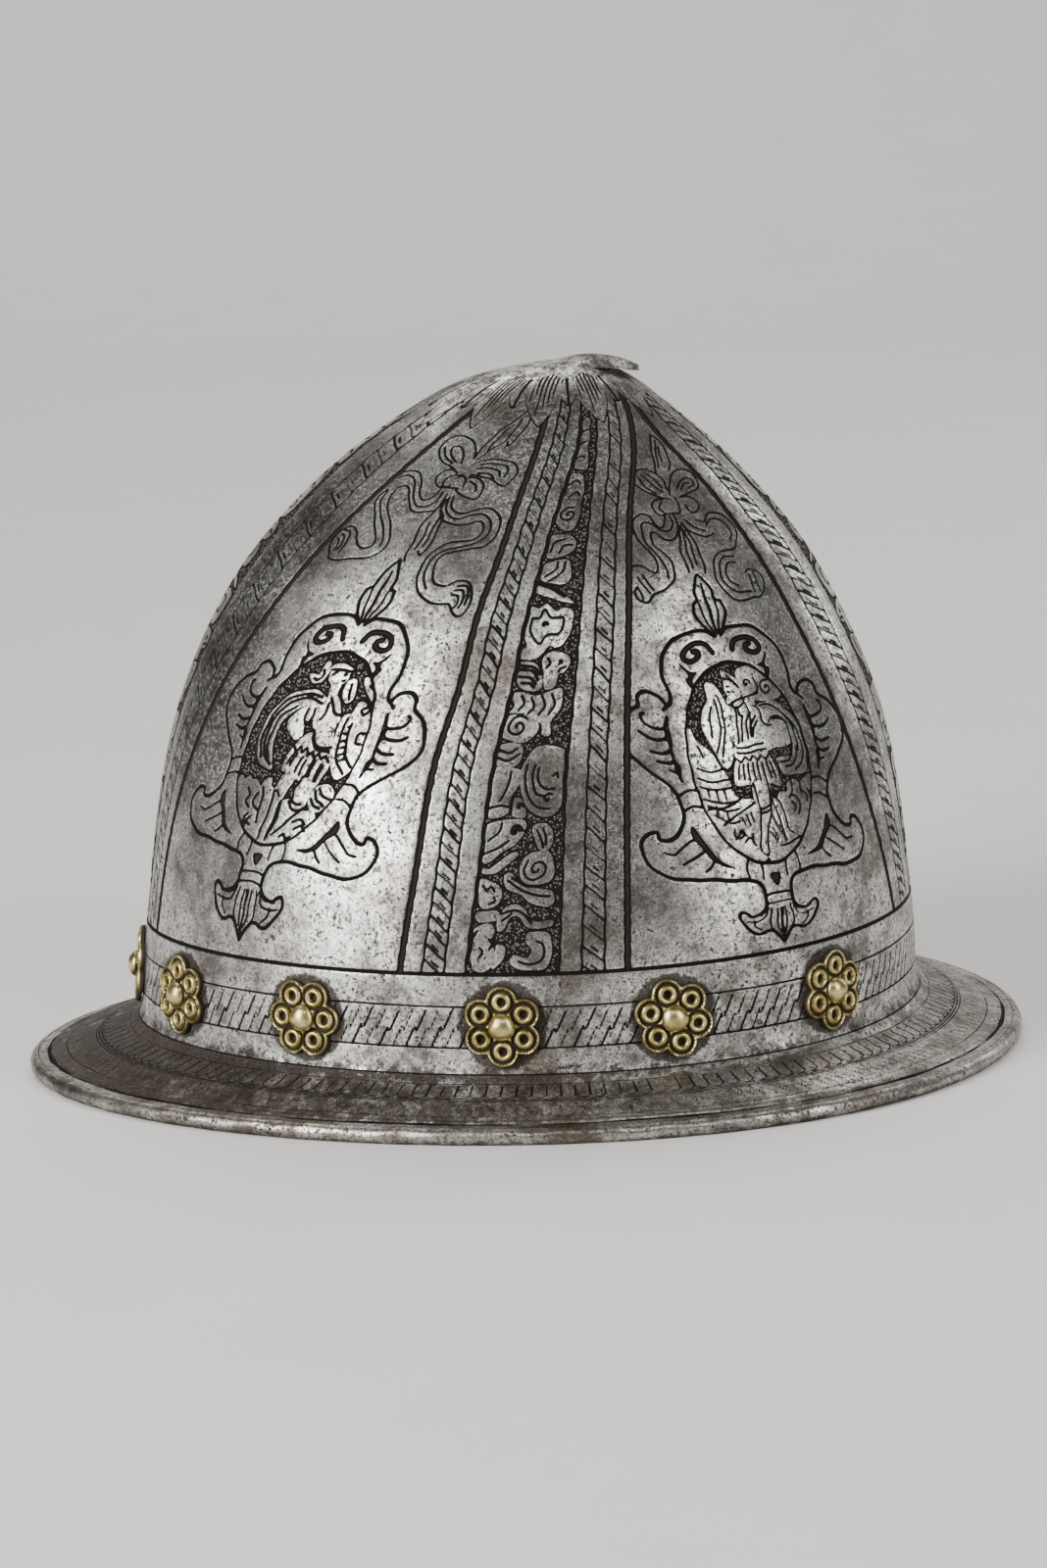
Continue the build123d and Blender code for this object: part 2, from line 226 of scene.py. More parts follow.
def hatches(along, share, tall, pitch, lean, parts, width=FINE):
    """Slanting strokes at a pitch across a strip: each part is an offset, as a share of the
    pitch, and the two shares of the strip's height between which its strokes run. Sines of
    a stroke's number vary its place, its width and its ends a little."""
    field = np.full(share.shape, REACH)
    for offset, low, high in parts:
        place = (along - lean * (share - 0.5)) / pitch - offset
        number = np.floor(place)
        away = np.abs(place - number - 0.5 - 0.05 * np.sin(7.3 * number)) * pitch
        away = away / np.hypot(1, lean / tall) - width / 2 * (1 + 0.2 * np.sin(3.1 * number))
        low, high = low + 0.03 * np.sin(5.1 * number), high + 0.03 * np.sin(4.3 * number)
        field = np.minimum(field, np.maximum(away, np.maximum(low - share, share - high) * tall))
    return np.maximum(field, np.maximum(-share, share - 1) * tall)


STAVE_LOW, STAVE_HIGH = 25.7, 240.0
STAVE_ROWS = 456
COARSE = 8
CUT_DEPTH, GROUND_DEPTH = 0.32, 0.24
# Where the heavy grooves run: shares of the way up, and degrees from the nape.
FRONT_EDGE = np.array([(0, 165.5), (.11, 164.6), (.19, 163.2), (.35, 157.1), (.465, 151.2),
                       (.54, 146.2), (.66, 138.5), (.75, 131), (.84, 123), (1, 103)])
SIDE_FRONT = np.array([(0, 110), (.11, 109.2), (.246, 106.8), (.37, 104.2), (.45, 101.1),
                       (.53, 99), (.616, 95.5), (.70, 92), (.78, 88), (.84, 85.4), (1, 76)])
SIDE_REAR = np.array([(0, 76.8), (.105, 76.3), (.36, 74.4), (.536, 70.1), (.70, 61.4),
                      (.81, 48.5), (1, 25)])
REAR_EDGE = np.array([(0, 19), (.11, 20.8), (.27, 26.6), (.36, 29.3), (.44, 31), (.53, 32.9),
                      (.61, 34.3), (.71, 36.2), (.78, 39), (.87, 36), (1, 20)])


def groove(edge, hand=1, start=0.0):
    """A groove as a function: its turn from the nape at a length up from the foot."""
    return lambda up: start + hand * np.radians(spline(edge[:, 0], edge[:, 1], up / CROWN_AT))


def stave(left, right, columns):
    """Grid of the sheet between two grooves, with how far each point lies from the
    middle along its level line."""
    up = np.linspace(STAVE_LOW, STAVE_HIGH, STAVE_ROWS + 1)
    share = np.linspace(0, 1, columns + 1)[:, None]
    turn = left(up) + (right(up) - left(up)) * share
    up = np.broadcast_to(up, turn.shape)
    points = skin(turn, up)
    steps = np.linalg.norm(np.diff(points, axis=0), axis=-1)
    across = np.concatenate([np.zeros((1, up.shape[1])), np.cumsum(steps, 0)])
    half = across[-1] / 2
    return points, across - half, up, half, turn


LEAVES, LEAF_TURN = 13, 0.3
LEAF_TIP, LEAF_SIDE, LEAF_BULGE = 199.0, 211.5, 1.2
LEAF_RISE, LEAF_SHOULDER, LEAF_END, SHOULDER_WIDE = 0.64, 0.66, 0.95, 0.05
SHOULDER_HIGH, NOTCH_DEEP = 1.6, 3.4
LEAF_LINE, VEIN_LINE, NOTCH_LINE = 1.0, 0.48, 0.8
VEINS = (-0.36, -0.25, -0.14, -0.03, 0.08, 0.19, 0.3)
VEIN_START, VEIN_END, NOTCH_END, LEAST_RADIUS = 6.0, 227.0, 223.0, 4.0


def calyx(line, ground, turn, up):
    """Ring of pointed leaves round the crown: the lower edge rises from each tip by a power
    of the distance from it, to two shoulders, and dips between two leaves. The veins run up
    the steel, and their starts follow a cosine."""
    fold = np.abs((turn + pi) % (2 * pi) - pi)
    share = (fold / (2 * pi) * LEAVES + LEAF_TURN) % 1 - 0.5
    off = np.abs(2 * share)
    edge = LEAF_TIP + (LEAF_SIDE - LEAF_TIP) * np.minimum(off / LEAF_RISE, 1) ** LEAF_BULGE
    edge = (edge - NOTCH_DEEP * ease(off, LEAF_SHOULDER, LEAF_END)
            + SHOULDER_HIGH * np.exp(-((off - LEAF_SHOULDER) / SHOULDER_WIDE) ** 2))
    inside = up - edge
    side = 2 * pi / LEAVES * np.maximum(CROWN_AT - up, LEAST_RADIUS)
    veins = np.full(up.shape, REACH)
    for vein in VEINS:
        sway = vein * (1 + 0.2 * np.sin(up / 5))
        veins = np.minimum(veins, np.abs(share - sway) * side - VEIN_LINE / 2)
    veins = np.maximum(veins, np.maximum(edge + VEIN_START + 4 * np.cos(40 * share) - up,
                                         up - VEIN_END + 12 * np.abs(share)))
    between = np.maximum((0.5 - np.abs(share)) * side - NOTCH_LINE / 2, up - NOTCH_END)
    outlined = np.abs(inside) - LEAF_LINE / 2
    leaf = np.minimum(np.minimum(veins, between), outlined)
    return (np.where(inside > 0, leaf, np.minimum(line, outlined)),
            np.where(inside > 0, REACH, ground))


TRENCH_SLOPE, TRENCH_START = 0.34, 0.05
GROUND_WALL = (-0.55, -0.05)


def trench(line, deepest):
    """Depth under a line: a V that grows from its edge inwards, down to the deepest."""
    return np.minimum(TRENCH_SLOPE * np.clip(TRENCH_START - line, 0, None), deepest)


def relief(line, ground):
    """Depth off the sheet: the trench under a line, or the floor under the ground, whose
    wall slopes inside the ground's edge, whichever is deeper."""
    floor = GROUND_DEPTH * (1 - ease(ground, *GROUND_WALL))
    return -np.maximum(trench(line, CUT_DEPTH), floor)


# Rust holds round the rosettes, where the leather kept the damp.
RIVET_ROW = 1
RIVET_ANGLES = (41.6, 69.7, 94.2, 124.2, 151.9)
ALL_ANGLES = [180.0, *RIVET_ANGLES, *(-angle for angle in RIVET_ANGLES)]
HALO_NEAR, HALO_FAR = 11.8, 15.0


def halo(points):
    """How near a point is to the closest rosette: one beside it, nought 15 mm away."""
    seats = outline(ROWS[len(SWEEP_SHARES) + RIVET_ROW], np.radians(ALL_ANGLES))
    away = np.full(points.shape[:-1], HALO_FAR)
    for seat_point in seats:
        away = np.minimum(away, np.linalg.norm(points - seat_point, axis=-1))
    return 1 - ease(away, HALO_NEAR, HALO_FAR)


# The steel is browner on its topmost millimetres: partly tarnish, where the stalk keeps polish off,
# and partly painted shade that darkens the top.
TOP_TARNISH_AND_SHADE, TOP_DARKENING_LOW, TOP_DARKENING_HIGH = 0.55, CROWN_HEIGHT - 9, CROWN_HEIGHT - 1


def solid_stave(name, points, line, ground, flip=False):
    """Closes a stave: its carved face, a coarse inner face, and walls between."""
    normal = facing(points)
    carved = points + normal * relief(line, ground)[..., None]
    inner = (points - normal * WALL)[::COARSE, ::COARSE]
    columns, rows = points.shape[0], points.shape[1]
    index = np.arange(columns * rows).reshape(columns, rows)
    back = columns * rows + np.arange(inner.shape[0] * inner.shape[1]).reshape(inner.shape[:2])
    front = np.stack([index[:-1, :-1], index[1:, :-1], index[1:, 1:], index[:-1, 1:]], -1)
    rear = np.stack([back[:-1, :-1], back[:-1, 1:], back[1:, 1:], back[1:, :-1]], -1)

    def wall(fine, rough, forward):
        """Faces between two edges, each from one coarse step and the fine ones beside it."""
        span = np.arange(len(rough) - 1)[:, None] * COARSE + np.arange(COARSE + 1)
        faces = np.concatenate([fine[span], rough[1:, None], rough[:-1, None]], 1)
        return faces if forward else faces[:, ::-1]

    faces = [front.reshape(-1, 4), rear.reshape(-1, 4),
             wall(index[:, 0], back[:, 0], False), wall(index[:, -1], back[:, -1], True),
             wall(index[0], back[0], True), wall(index[-1], back[-1], False)]
    every = np.concatenate([carved.reshape(-1, 3), inner.reshape(-1, 3)])
    spare = np.full(inner.shape[0] * inner.shape[1], REACH)
    # Painted shade with tarnish: the top of the skull is browned and darkened.
    top_tarnish_and_shade = TOP_TARNISH_AND_SHADE * ease(points[..., 2], TOP_DARKENING_LOW, TOP_DARKENING_HIGH)
    rust_and_shade = np.concatenate([np.maximum(halo(points), top_tarnish_and_shade).ravel(), 0 * spare])
    fields = {"line": np.concatenate([line.ravel(), spare]),
              "ground": np.concatenate([ground.ravel(), spare]), "rust_and_shade": rust_and_shade}
    return put(name, every, faces, fields, flip)


SHAKE = 0.14


def hand_made(across, up):
    """Bends the drawing by two sines of a tenth of a millimetre or so, as a hand does."""
    return (across + SHAKE * np.sin(up * 0.83 + across * 0.31),
            up + SHAKE * np.sin(across * 0.71 - up * 0.23))


# The panels' figures. A strapwork shield with curled wings, a leaf above and a palmette
# below frames an oval of stippled ground: drawn as its right half, and mirrored.
SHIELD = [
    (BOLD, [(1.2, 127.5), (4, 129.3), (10, 129.3), (15, 126.7), (19, 121.5), (21, 115.7),
            (20.6, 108.6), (22.1, 106), (24, 108.5), (27.5, 109.4), (30.2, 107.4),
            (31.1, 104.5), (34.7, 102.3), (37.8, 98), (39.1, 94.1), (37.5, 89.5),
            (32.5, 85.1), (27.6, 81.2), (25.8, 77.1), (26.1, 72.1), (28.4, 68.3),
            (31.7, 65.7), (34.4, 65.5), (34.7, 67.4), (37.6, 66.6), (40, 63.2), (39.7, 59.2),
            (36.8, 56), (30.9, 54.8), (22.7, 55.8), (13.5, 56.6), (7.5, 55.9), (5, 53.4),
            (4.6, 50.4), (5.1, 47.4), (7, 45), (10, 44.1), (11.5, 45.5), (13.3, 46.3),
            (14.2, 43.6), (12.5, 40), (10, 36.8), (7.5, 35.9), (5.2, 37), (3, 36), (0, 31)]),
    (MIDDLE, [(22.1, 106), (24, 104.4)]),
    (FINE, [(19.5, 81.6), (23, 81.3), (26, 79.5)]), (FINE, [(19.7, 77), (22.4, 76.7), (25.4, 75)]),
    (FINE, [(0, 51.8), (2.5, 51.6), (4.4, 51)]), (FINE, [(0, 48.8), (3, 48.5), (4.6, 48)]),
    (MIDDLE, [(23.5, 102.4), (25, 98), (24.8, 92), (25, 88), (24, 84)]),
    (MIDDLE, [(23.5, 101.9), (25, 99), (28, 98.7), (30.5, 99.7), (31, 101.8), (30, 102.6)]),
    (MIDDLE, [(25, 96), (28, 95.2), (31, 95.7), (33, 96.8)]),
    (MIDDLE, [(25, 92.5), (27.5, 91.2), (31, 91.6)]),
    (MIDDLE, [(25, 89.5), (27, 88.4), (30, 88.7)]),
    (FINE, [(24, 84), (24.8, 86), (27, 86.5)]),
    (FINE, [(21.5, 64.2), (22.5, 66.8), (25, 66.5), (29, 63.3), (31, 61.8), (33.8, 61.7)]),
    (FINE, [(22, 63.8), (25, 61.5), (29, 59)]), (FINE, [(19, 61.5), (20.5, 59.6), (22.5, 58.1)]),
    (MIDDLE, [(0.9, 127.2), (3.4, 130.6), (5.1, 134.8), (4.7, 138.2)]),
    (MIDDLE, [(4.7, 138.2), (2.9, 139.4), (2.8, 142.4), (1.6, 145.4), (0, 148.4)]),
    (FINE, [(0, 128), (0.2, 136), (0, 144.5)]), (FINE, [(0.8, 128), (2.4, 134), (2.8, 138.5)]),
    (FINE, [(4.6, 61), (4, 58.4), (4.4, 56)]), (FINE, [(8.4, 62.4), (9.2, 59.4), (9, 56.4)]),
    (FINE, [(0, 33), (0.2, 46)]), (FINE, [(0, 33.5), (1.6, 38), (1.4, 46)]),
    (FINE, [(3, 36.4), (4.2, 39.5), (3.4, 46.5)]), (FINE, [(7.4, 37.4), (9.5, 39.6), (9.6, 42.2)]),
    (FINE, [(4.6, 46.5), (6, 42.6), (9, 41.6), (12.3, 42.4)]),
    (FINE, [(5.6, 45.2), (7.6, 44), (11, 44.2)]),
]
SHIELD_DARKS = [
    [(15, 120.2), (14.6, 118.3), (13.4, 117), (13.6, 115.4), (14.4, 115), (12.8, 111.4),
     (12.3, 114.4), (11.9, 115.6), (10.3, 116.6), (12.6, 117.4)],
    [(12.8, 60.5), (17, 61.9), (20, 65.1), (23.5, 70.9), (24.5, 67.5), (21.5, 64.2), (20, 62),
     (17, 60.4)],
    [(23.4, 100.5), (24.6, 97.5), (26.2, 96), (24.9, 94.2), (24.6, 92)],
    [(23.6, 88.5), (25.2, 89.4), (24.2, 85)], [(-1.9, 57), (1.9, 57), (0, 53.5)],
]
SHIELD_CURL = [(3.5, 122.4), (4.7, 125), (8, 125.7), (11.5, 124.4), (13, 122), (12, 120.5),
               (10, 120.4), (8.3, 121.5), (8.2, 123), (9.6, 123.2)]
CURL_PEN = 1.75
OVAL_MIDDLE, OVAL_WIDE, OVAL_TALL = 89.3, 20.5, 29.3

# Panel at the front left. A soldier in an old-fashioned skirted armour stands with a
# shield: bright figures, their inner lines, and a face of plain, even proportions.
SOLDIER = [
    [(-10.6, 111.3), (-8.4, 108.9), (-5.4, 109.2), (-4.7, 112.2), (-5.4, 115.4), (-6.6, 115.7),
     (-7.3, 113.9), (-7.5, 111.6), (-9.2, 111.6)],
    [(-4.2, 114.3), (-0.7, 115.1), (3.3, 113.6), (2.7, 112), (2.7, 110), (1.2, 108.8),
     (-1, 108.4), (-3.3, 109.8), (-4.2, 112.2)],
    [(-1.5, 109), (1.3, 109.2), (1.8, 105.7), (3.4, 104), (4.8, 101.6), (6.3, 99.2), (6, 95.7),
     (7, 91.6), (7.5, 89), (2.2, 89), (-0.7, 94.5), (-2.2, 96.3), (-2.5, 99.8), (-1, 104)],
    [(-1.2, 104.5), (-5.4, 106.6), (-9.5, 106.6), (-14.2, 104.8), (-17.8, 100.4),
     (-19.5, 95.7), (-19.5, 90.4), (-17.8, 85.7), (-14.8, 83.1), (-10.7, 82.2), (-11.9, 85.4),
     (-13.4, 89.8), (-13.9, 93.4), (-12.8, 97.5), (-10.1, 100.4), (-6.6, 101.9), (-1.3, 102.6)],
    [(-6.6, 101.8), (-1.7, 102.8), (-1.6, 99.2), (-4.8, 96.3), (-3.9, 93.4), (-6, 91.6),
     (-10.1, 94.5), (-11, 97.5), (-9.5, 99.8)],
    [(-0.7, 93.9), (-3.4, 92.8), (-6, 88.9), (-7.2, 83.4), (-6, 81.9), (-1.3, 80.4), (0.5, 79.8),
     (1.6, 78.4), (6.4, 77.8), (8.7, 82.8), (8.7, 85.4), (6.9, 88.6), (2.4, 89.4)],
    [(6.9, 99.5), (7.2, 91.6), (9, 85.7), (12.4, 81), (14.9, 81.9), (17.5, 85.7), (17.8, 92.8),
     (16.4, 97.5), (14.6, 101.6), (11.6, 103.9), (9.9, 103.4), (9.3, 100.4)],
    [(3.2, 110), (5.5, 110.5), (6.8, 108), (7.6, 104.8), (6, 103.5), (4, 105), (3, 107.5)],
    [(8.5, 111.5), (12, 110.5), (15, 107), (16.5, 103), (14, 104), (11, 106.5), (8.8, 109.5)],
    [(-5.4, 81), (-1.2, 80.2), (-2.5, 76), (-3.7, 73.5), (-6.4, 73.3), (-7.1, 76), (-6, 79)],
    [(-7.1, 75.4), (-3.5, 73.4), (-4, 68), (-5, 62), (-7.8, 61.5), (-8.2, 66), (-7.6, 71)],
    [(1, 78.2), (6.2, 77.6), (5.8, 73.5), (4.5, 71.5), (0.8, 71.6), (-0.5, 73.5), (1, 74.5)],
    [(0, 72.5), (4.5, 71.4), (1.5, 67), (-2, 62.5), (-4.4, 61.5), (-5, 63), (-3.2, 68)],
    [(6, 76), (8, 78.8), (11.5, 79.2), (14, 77), (13.6, 73), (11, 71), (7.6, 71.6)],
    [(-22, 78.5), (-19.5, 78.8), (-18, 79.9), (-16.6, 78.6), (-14.8, 78.7), (-12.6, 77),
     (-11.9, 78.6), (-10, 80), (-8.8, 79.6), (-8.6, 77.6), (-7.2, 76.4), (-6.8, 73),
     (-6.6, 70.4), (-7.8, 65), (-8.4, 60), (-14, 57), (-22, 64)],
    [(-8, 61), (-6.6, 70), (-3.6, 73.4), (1, 74.2), (5, 71.4), (9.2, 71), (10.5, 68), (9.4, 66.4),
     (11, 64.5), (6, 57), (0, 56), (-8, 57)],
]
SOLDIER_LINES = [
    [(-2, 103), (-8, 104.2), (-13.5, 102), (-16.6, 97), (-16.9, 91), (-15, 86), (-12, 83.6)],
    [(-3, 104.8), (-9, 105.4), (-15, 102.6), (-18, 96.5), (-18.3, 90.5), (-16.4, 85.6)],
    [(-10, 101.6), (-14, 98.8), (-15.4, 94), (-15.2, 89.4), (-13.4, 85)],
    [(-5.6, 101), (-6, 98.4), (-4.8, 96.6)], [(-3.4, 101.4), (-3.2, 99), (-4.2, 97)],
    [(0.2, 104.8), (3.2, 100.6), (6, 99.8)], [(0, 103), (0.6, 100), (-0.2, 98)],
    [(-0.8, 94.6), (1.6, 91), (4.4, 89.8), (7.4, 90)], [(-0.4, 93), (2.4, 89.6), (7.4, 88.6)],
    [(-5.4, 89.6), (-4, 88.2), (-3.2, 89.8), (-2, 88), (-0.8, 89.4), (0.4, 87.4), (1.6, 88.6),
     (2.8, 86.8), (4, 88), (5.4, 86.4), (6.6, 87.4), (8, 86)],
    [(-4.4, 87.6), (-5.6, 84.4)], [(-3.4, 87.4), (-4.4, 83.8)], [(-1, 86.8), (-2, 82.4)],
    [(0.6, 86), (-0.2, 81.6)], [(3, 86), (2.4, 81)], [(3.8, 86), (3.4, 81)],
    [(6.2, 85), (5.6, 80)], [(7, 84.6), (6.4, 80)], [(1.4, 81), (1, 79)],
    [(8.6, 99), (9, 92), (10.8, 86.5), (14.4, 82.6)],
    [(10.8, 97.4), (11.4, 92.4), (13, 88), (16.2, 84.8)],
    [(10.2, 96.4), (11, 96.6)], [(9.9, 94.4), (11.2, 94.4)], [(10, 92.4), (11.4, 92.4)],
    [(10.5, 90.4), (12, 90.6)], [(11.2, 88.4), (12.8, 88.8)], [(12, 86.6), (13.8, 87.2)],
    [(16.4, 94.6), (14.6, 94.6), (14.6, 91.8), (16.4, 91.4)],
    [(13.8, 102.6), (12, 101.4), (13.4, 100.2), (14.4, 101.2)],
    [(4.8, 109), (5.4, 106.6), (6.4, 104.6)], [(11, 108.8), (13.2, 107), (14.6, 104.6)],
    [(-8.6, 110.4), (-7, 109.8), (-6, 111.4), (-6.6, 113)],
    [(-3.6, 113), (0, 113.3), (3, 112.9)], [(-3, 111.5), (-1.6, 112.9)],
    [(0.9, 111.9), (1.7, 111.9)], [(1.9, 110.1), (1.2, 110)],
    [(-6, 76.2), (-4.6, 74.8)], [(0, 74), (2, 72.8), (4, 73)],
    [(7.4, 77.4), (9, 74.6), (12, 73)], [(8.6, 78.2), (10.4, 75.8), (13.2, 75)],
    [(7, 75), (8.6, 72.8), (11, 72)], [(-11.6, 77), (-10.4, 74), (-10.8, 69), (-10.2, 66)],
    [(-7, 76), (-6.6, 71), (-7.8, 64.6), (-8.2, 61.8)], [(-3.6, 73.2), (-3.9, 69.2), (-5.6, 61.6)],
    [(4.6, 71.4), (-0.1, 66.3), (-3.4, 63.1)], [(-3.3, 73), (-2.9, 69), (-4.9, 62.6)],
    [(-0.7, 73.4), (1.1, 71.3), (3.4, 71), (5.8, 72.4)], [(-12.6, 75), (-13.8, 72), (-11.4, 70)],
    [(-17, 76), (-15.6, 74), (-16.8, 72), (-15, 70.4)], [(3, 67.6), (5.6, 68.6), (7.6, 67)],
    [(4, 65.6), (6.4, 66.6), (8, 65)], [(-0.4, 62.8), (1, 63.8), (2, 62.6), (3.4, 63.4)],
    [(-13, 68), (-14.4, 66.4), (-12.8, 65.4)], [(-14.4, 68.6), (-15.6, 67), (-14.6, 65.2)],
]
# The ribbon bow above it: a knot, loops, two wavy tails with curled ends, a hanging leaf
# and a sprig.
RIBBON = [
    [(0, 186), (-1.5, 190), (-4, 193.5), (-7, 195.3), (-10, 195.5), (-12.5, 193.8), (-13, 191),
     (-11.5, 187.5), (-8.5, 184.5), (-5, 182.5), (-2, 180.5)],
    [(-2.5, 184), (-4, 187.5), (-6.5, 191), (-8.5, 191.2), (-9, 190), (-7.5, 187.5), (-4.5, 184.5)],
    [(-11.5, 190.5), (-9.5, 187.5), (-5.5, 184)],
    [(1, 183.5), (3, 185), (6.5, 185.7), (10.5, 185), (14, 183.2), (16.2, 180.5), (16.5, 178),
     (15.5, 175.5), (13.5, 175.5), (10, 177.5), (6, 179), (2.5, 179.5)],
    [(3.5, 183.5), (7, 184), (11, 183), (13, 181), (13.5, 178.5)],
    [(3.5, 181.8), (7, 182.2), (10.5, 180.8), (12, 178.4)], [(4.5, 180.2), (8, 180), (10.4, 178)],
    [(-3.5, 181.5), (-5.5, 181.5), (-7, 180), (-7, 177.5), (-5.5, 175.5), (-3, 174.8), (-1, 175.5)],
    [(0, 179.5), (-2.5, 179.5), (-3.8, 178), (-3.5, 175.5), (-1, 174.5), (2, 174.2)],
    [(-1, 178.5), (0.5, 179), (2.5, 177), (3, 175)],
    [(2.5, 178.5), (6, 178), (9, 175), (10, 172), (9.5, 170.2), (7, 170.5), (4, 172), (1.5, 173.5)],
    [(4, 177), (6.5, 175.5), (8, 173)],
    [(-20, 179), (-19, 180.5), (-15.5, 180.7), (-13, 179.5), (-11, 176.5), (-9.5, 173),
     (-7.5, 170.5), (-5.5, 170), (-4, 171.5), (-3.5, 174)],
    [(-19.7, 178), (-17, 179), (-14, 177.5), (-12, 174.5), (-10, 170.5), (-7.5, 167.8),
     (-4, 167.6), (-2, 169.5), (-2.2, 173)],
    [(-17.5, 174), (-15, 175), (-13, 173.5), (-11, 169.5), (-8, 166), (-4, 165.4), (-0.5, 166.2),
     (0, 169), (-0.5, 172)],
    [(-20.5, 173.5), (-21.8, 171), (-21.2, 167.5), (-18.5, 163), (-15.5, 158.5), (-13.5, 155),
     (-13.5, 153), (-15.5, 151.8), (-17.5, 152.5), (-19.5, 154.5), (-21.5, 157.5), (-23.5, 159),
     (-26, 159), (-27.8, 156), (-28, 152), (-26.5, 149.5), (-24.5, 147.5), (-15, 148.5),
     (-11, 149.5), (-9, 152), (-8.8, 155.5), (-11, 159.5), (-15, 165), (-17.8, 170), (-17.6, 173)],
    [(-20.2, 173), (-20, 169), (-17, 164), (-13.5, 159.5), (-11.2, 156), (-10.8, 153)],
    [(-26, 158), (-23.6, 157), (-22.6, 153.4), (-23.5, 150)],
    [(-26, 156.5), (-24.6, 155.5), (-24, 153), (-24.5, 150.8)],
    [(-26.5, 155), (-25.6, 154), (-25.4, 152), (-25.6, 150.5)],
    [(2, 171.5), (3.5, 168), (6, 165.5), (9, 165), (12, 166.5), (16, 166.5), (20, 164),
     (22.5, 160), (23, 156), (21.5, 153), (18, 152.3), (13.5, 151.5), (10.8, 150), (10.3, 147),
     (11.5, 143.5), (14, 140.5), (17.5, 140), (20, 141.7), (23.5, 141), (26, 138.5), (27.8, 135),
     (27.8, 132), (26.5, 130.2), (24, 131.5), (21.5, 134)],
    [(1, 171), (2.5, 167), (5, 164), (8, 163), (12, 164.5), (15.5, 164.2), (18.8, 162),
     (20.4, 158), (18.8, 154.5), (14, 153), (10, 151.5), (8.2, 148), (8.6, 144), (12, 139)],
    [(0.5, 170), (1.5, 165.5), (4, 162.3), (8, 161.1), (12, 161), (15.5, 162), (17.5, 160.6),
     (18.2, 158), (17, 155.6), (13, 154.9), (9.5, 154), (7, 151), (6.3, 147), (7.5, 142),
     (10.5, 137.5), (14, 135.2), (18, 134.2), (21.5, 134)],
    [(21, 140), (24, 139.5), (26, 136.5), (26.5, 134)],
    [(21, 138.5), (23.5, 138.2), (25.2, 135.5), (25, 133)],
    [(21, 137), (23, 136.5), (24, 134.5), (23.5, 133)],
    [(-0.5, 166), (-1.5, 162), (-1.5, 158), (-0.6, 154), (-0.8, 150), (0, 148)],
    [(1, 166.5), (3, 164), (4.5, 158), (4.8, 153), (4, 150.2), (2.5, 151.5)],
    [(0.4, 162), (1.2, 157), (1.2, 152)], [(2.2, 164), (2.8, 158), (3, 153)],
    [(0, 186.5), (0.5, 192), (2, 198), (4, 202.5), (5.5, 206), (6, 208.5)],
    [(1, 185.5), (3, 189), (5.5, 193), (6, 197), (5.8, 203)],
    [(6.4, 193), (7.5, 191), (8.5, 194), (8.8, 199), (8.2, 204)], [(3, 189), (2.5, 192), (4, 199)],
]
LEFT_AXIS = np.array([(25, -7.0), (50, -7.0), (86, -3.0), (130, -2.0), (178, -1.0), (240, 0.0)])
# The side groove was set a little rearwards of where these figures were laid out.
GROOVE_SHIFT = np.array([(27, 1.1), (60, 4.0), (90, 5.7), (110, 4.7), (130, 5.0), (150, 3.0),
                         (170, 1.5), (190, 0.0), (240, 0.0)])
FALL = 0.08
# The shields' left halves were drawn higher than the right ones, and one of them narrower.
UNEVEN_FROM, FRONT_NARROWER, FRONT_HIGHER, REAR_HIGHER = 13.0, 0.15, 0.2, 0.25
SOLDIER_PEN, GUARD_PEN = 0.8, 0.56
# The figures are a little fuller than drawn, and half an outline is this share of the pen.
FULLER, OUTLINE_SHARE = 0.35, 0.38
GROOVE_LINE, GROOVE_SHAKE, RING_LINE = 2.1, 0.1, 1.1


def framed(line, ground, shield_at, oval_at, figures, inner_lines, at, pen):
    """Engraves a shield and its oval: shield strokes in mirrored measures, and stippled
    ground where the oval's distance, an ellipse's, is negative and the figures' is not."""
    for width, stroke in SHIELD:
        cut(line, shield_at, stroke, width)
    cut(line, shield_at, SHIELD_CURL, CURL_PEN)
    dark = np.full(line.shape, REACH)
    for figure in SHIELD_DARKS:
        shape(dark, shield_at, figure)
    line[:] = np.minimum(line, dark)
    oval = np.hypot(oval_at[0] / OVAL_WIDE, (oval_at[1] - OVAL_MIDDLE) / OVAL_TALL) - 1
    oval = oval * OVAL_WIDE
    line[:] = np.minimum(line, np.abs(oval) - FINE / 2)
    solid = np.full(line.shape, REACH)
    for figure in figures:
        shape(solid, at, figure)
    solid = solid - FULLER
    edges = np.maximum(np.abs(solid) - OUTLINE_SHARE * pen, oval)
    line[:] = np.minimum(line, edges)
    for stroke in inner_lines:
        cut(line, at, stroke, pen)
    ground[:] = np.minimum(ground, np.maximum(oval, -solid))


def grooves(line, across, up, half):
    """Lowers the line field to the heavy grooves at a stave's edges, whose width a sine
    varies, and to the ring line under it."""
    edge = half - np.abs(across) - GROOVE_LINE / 2 - GROOVE_SHAKE * np.sin(up * 1.3 + across)
    line[:] = np.minimum(np.minimum(line, edge), up - STAVE_LOW - RING_LINE / 2)


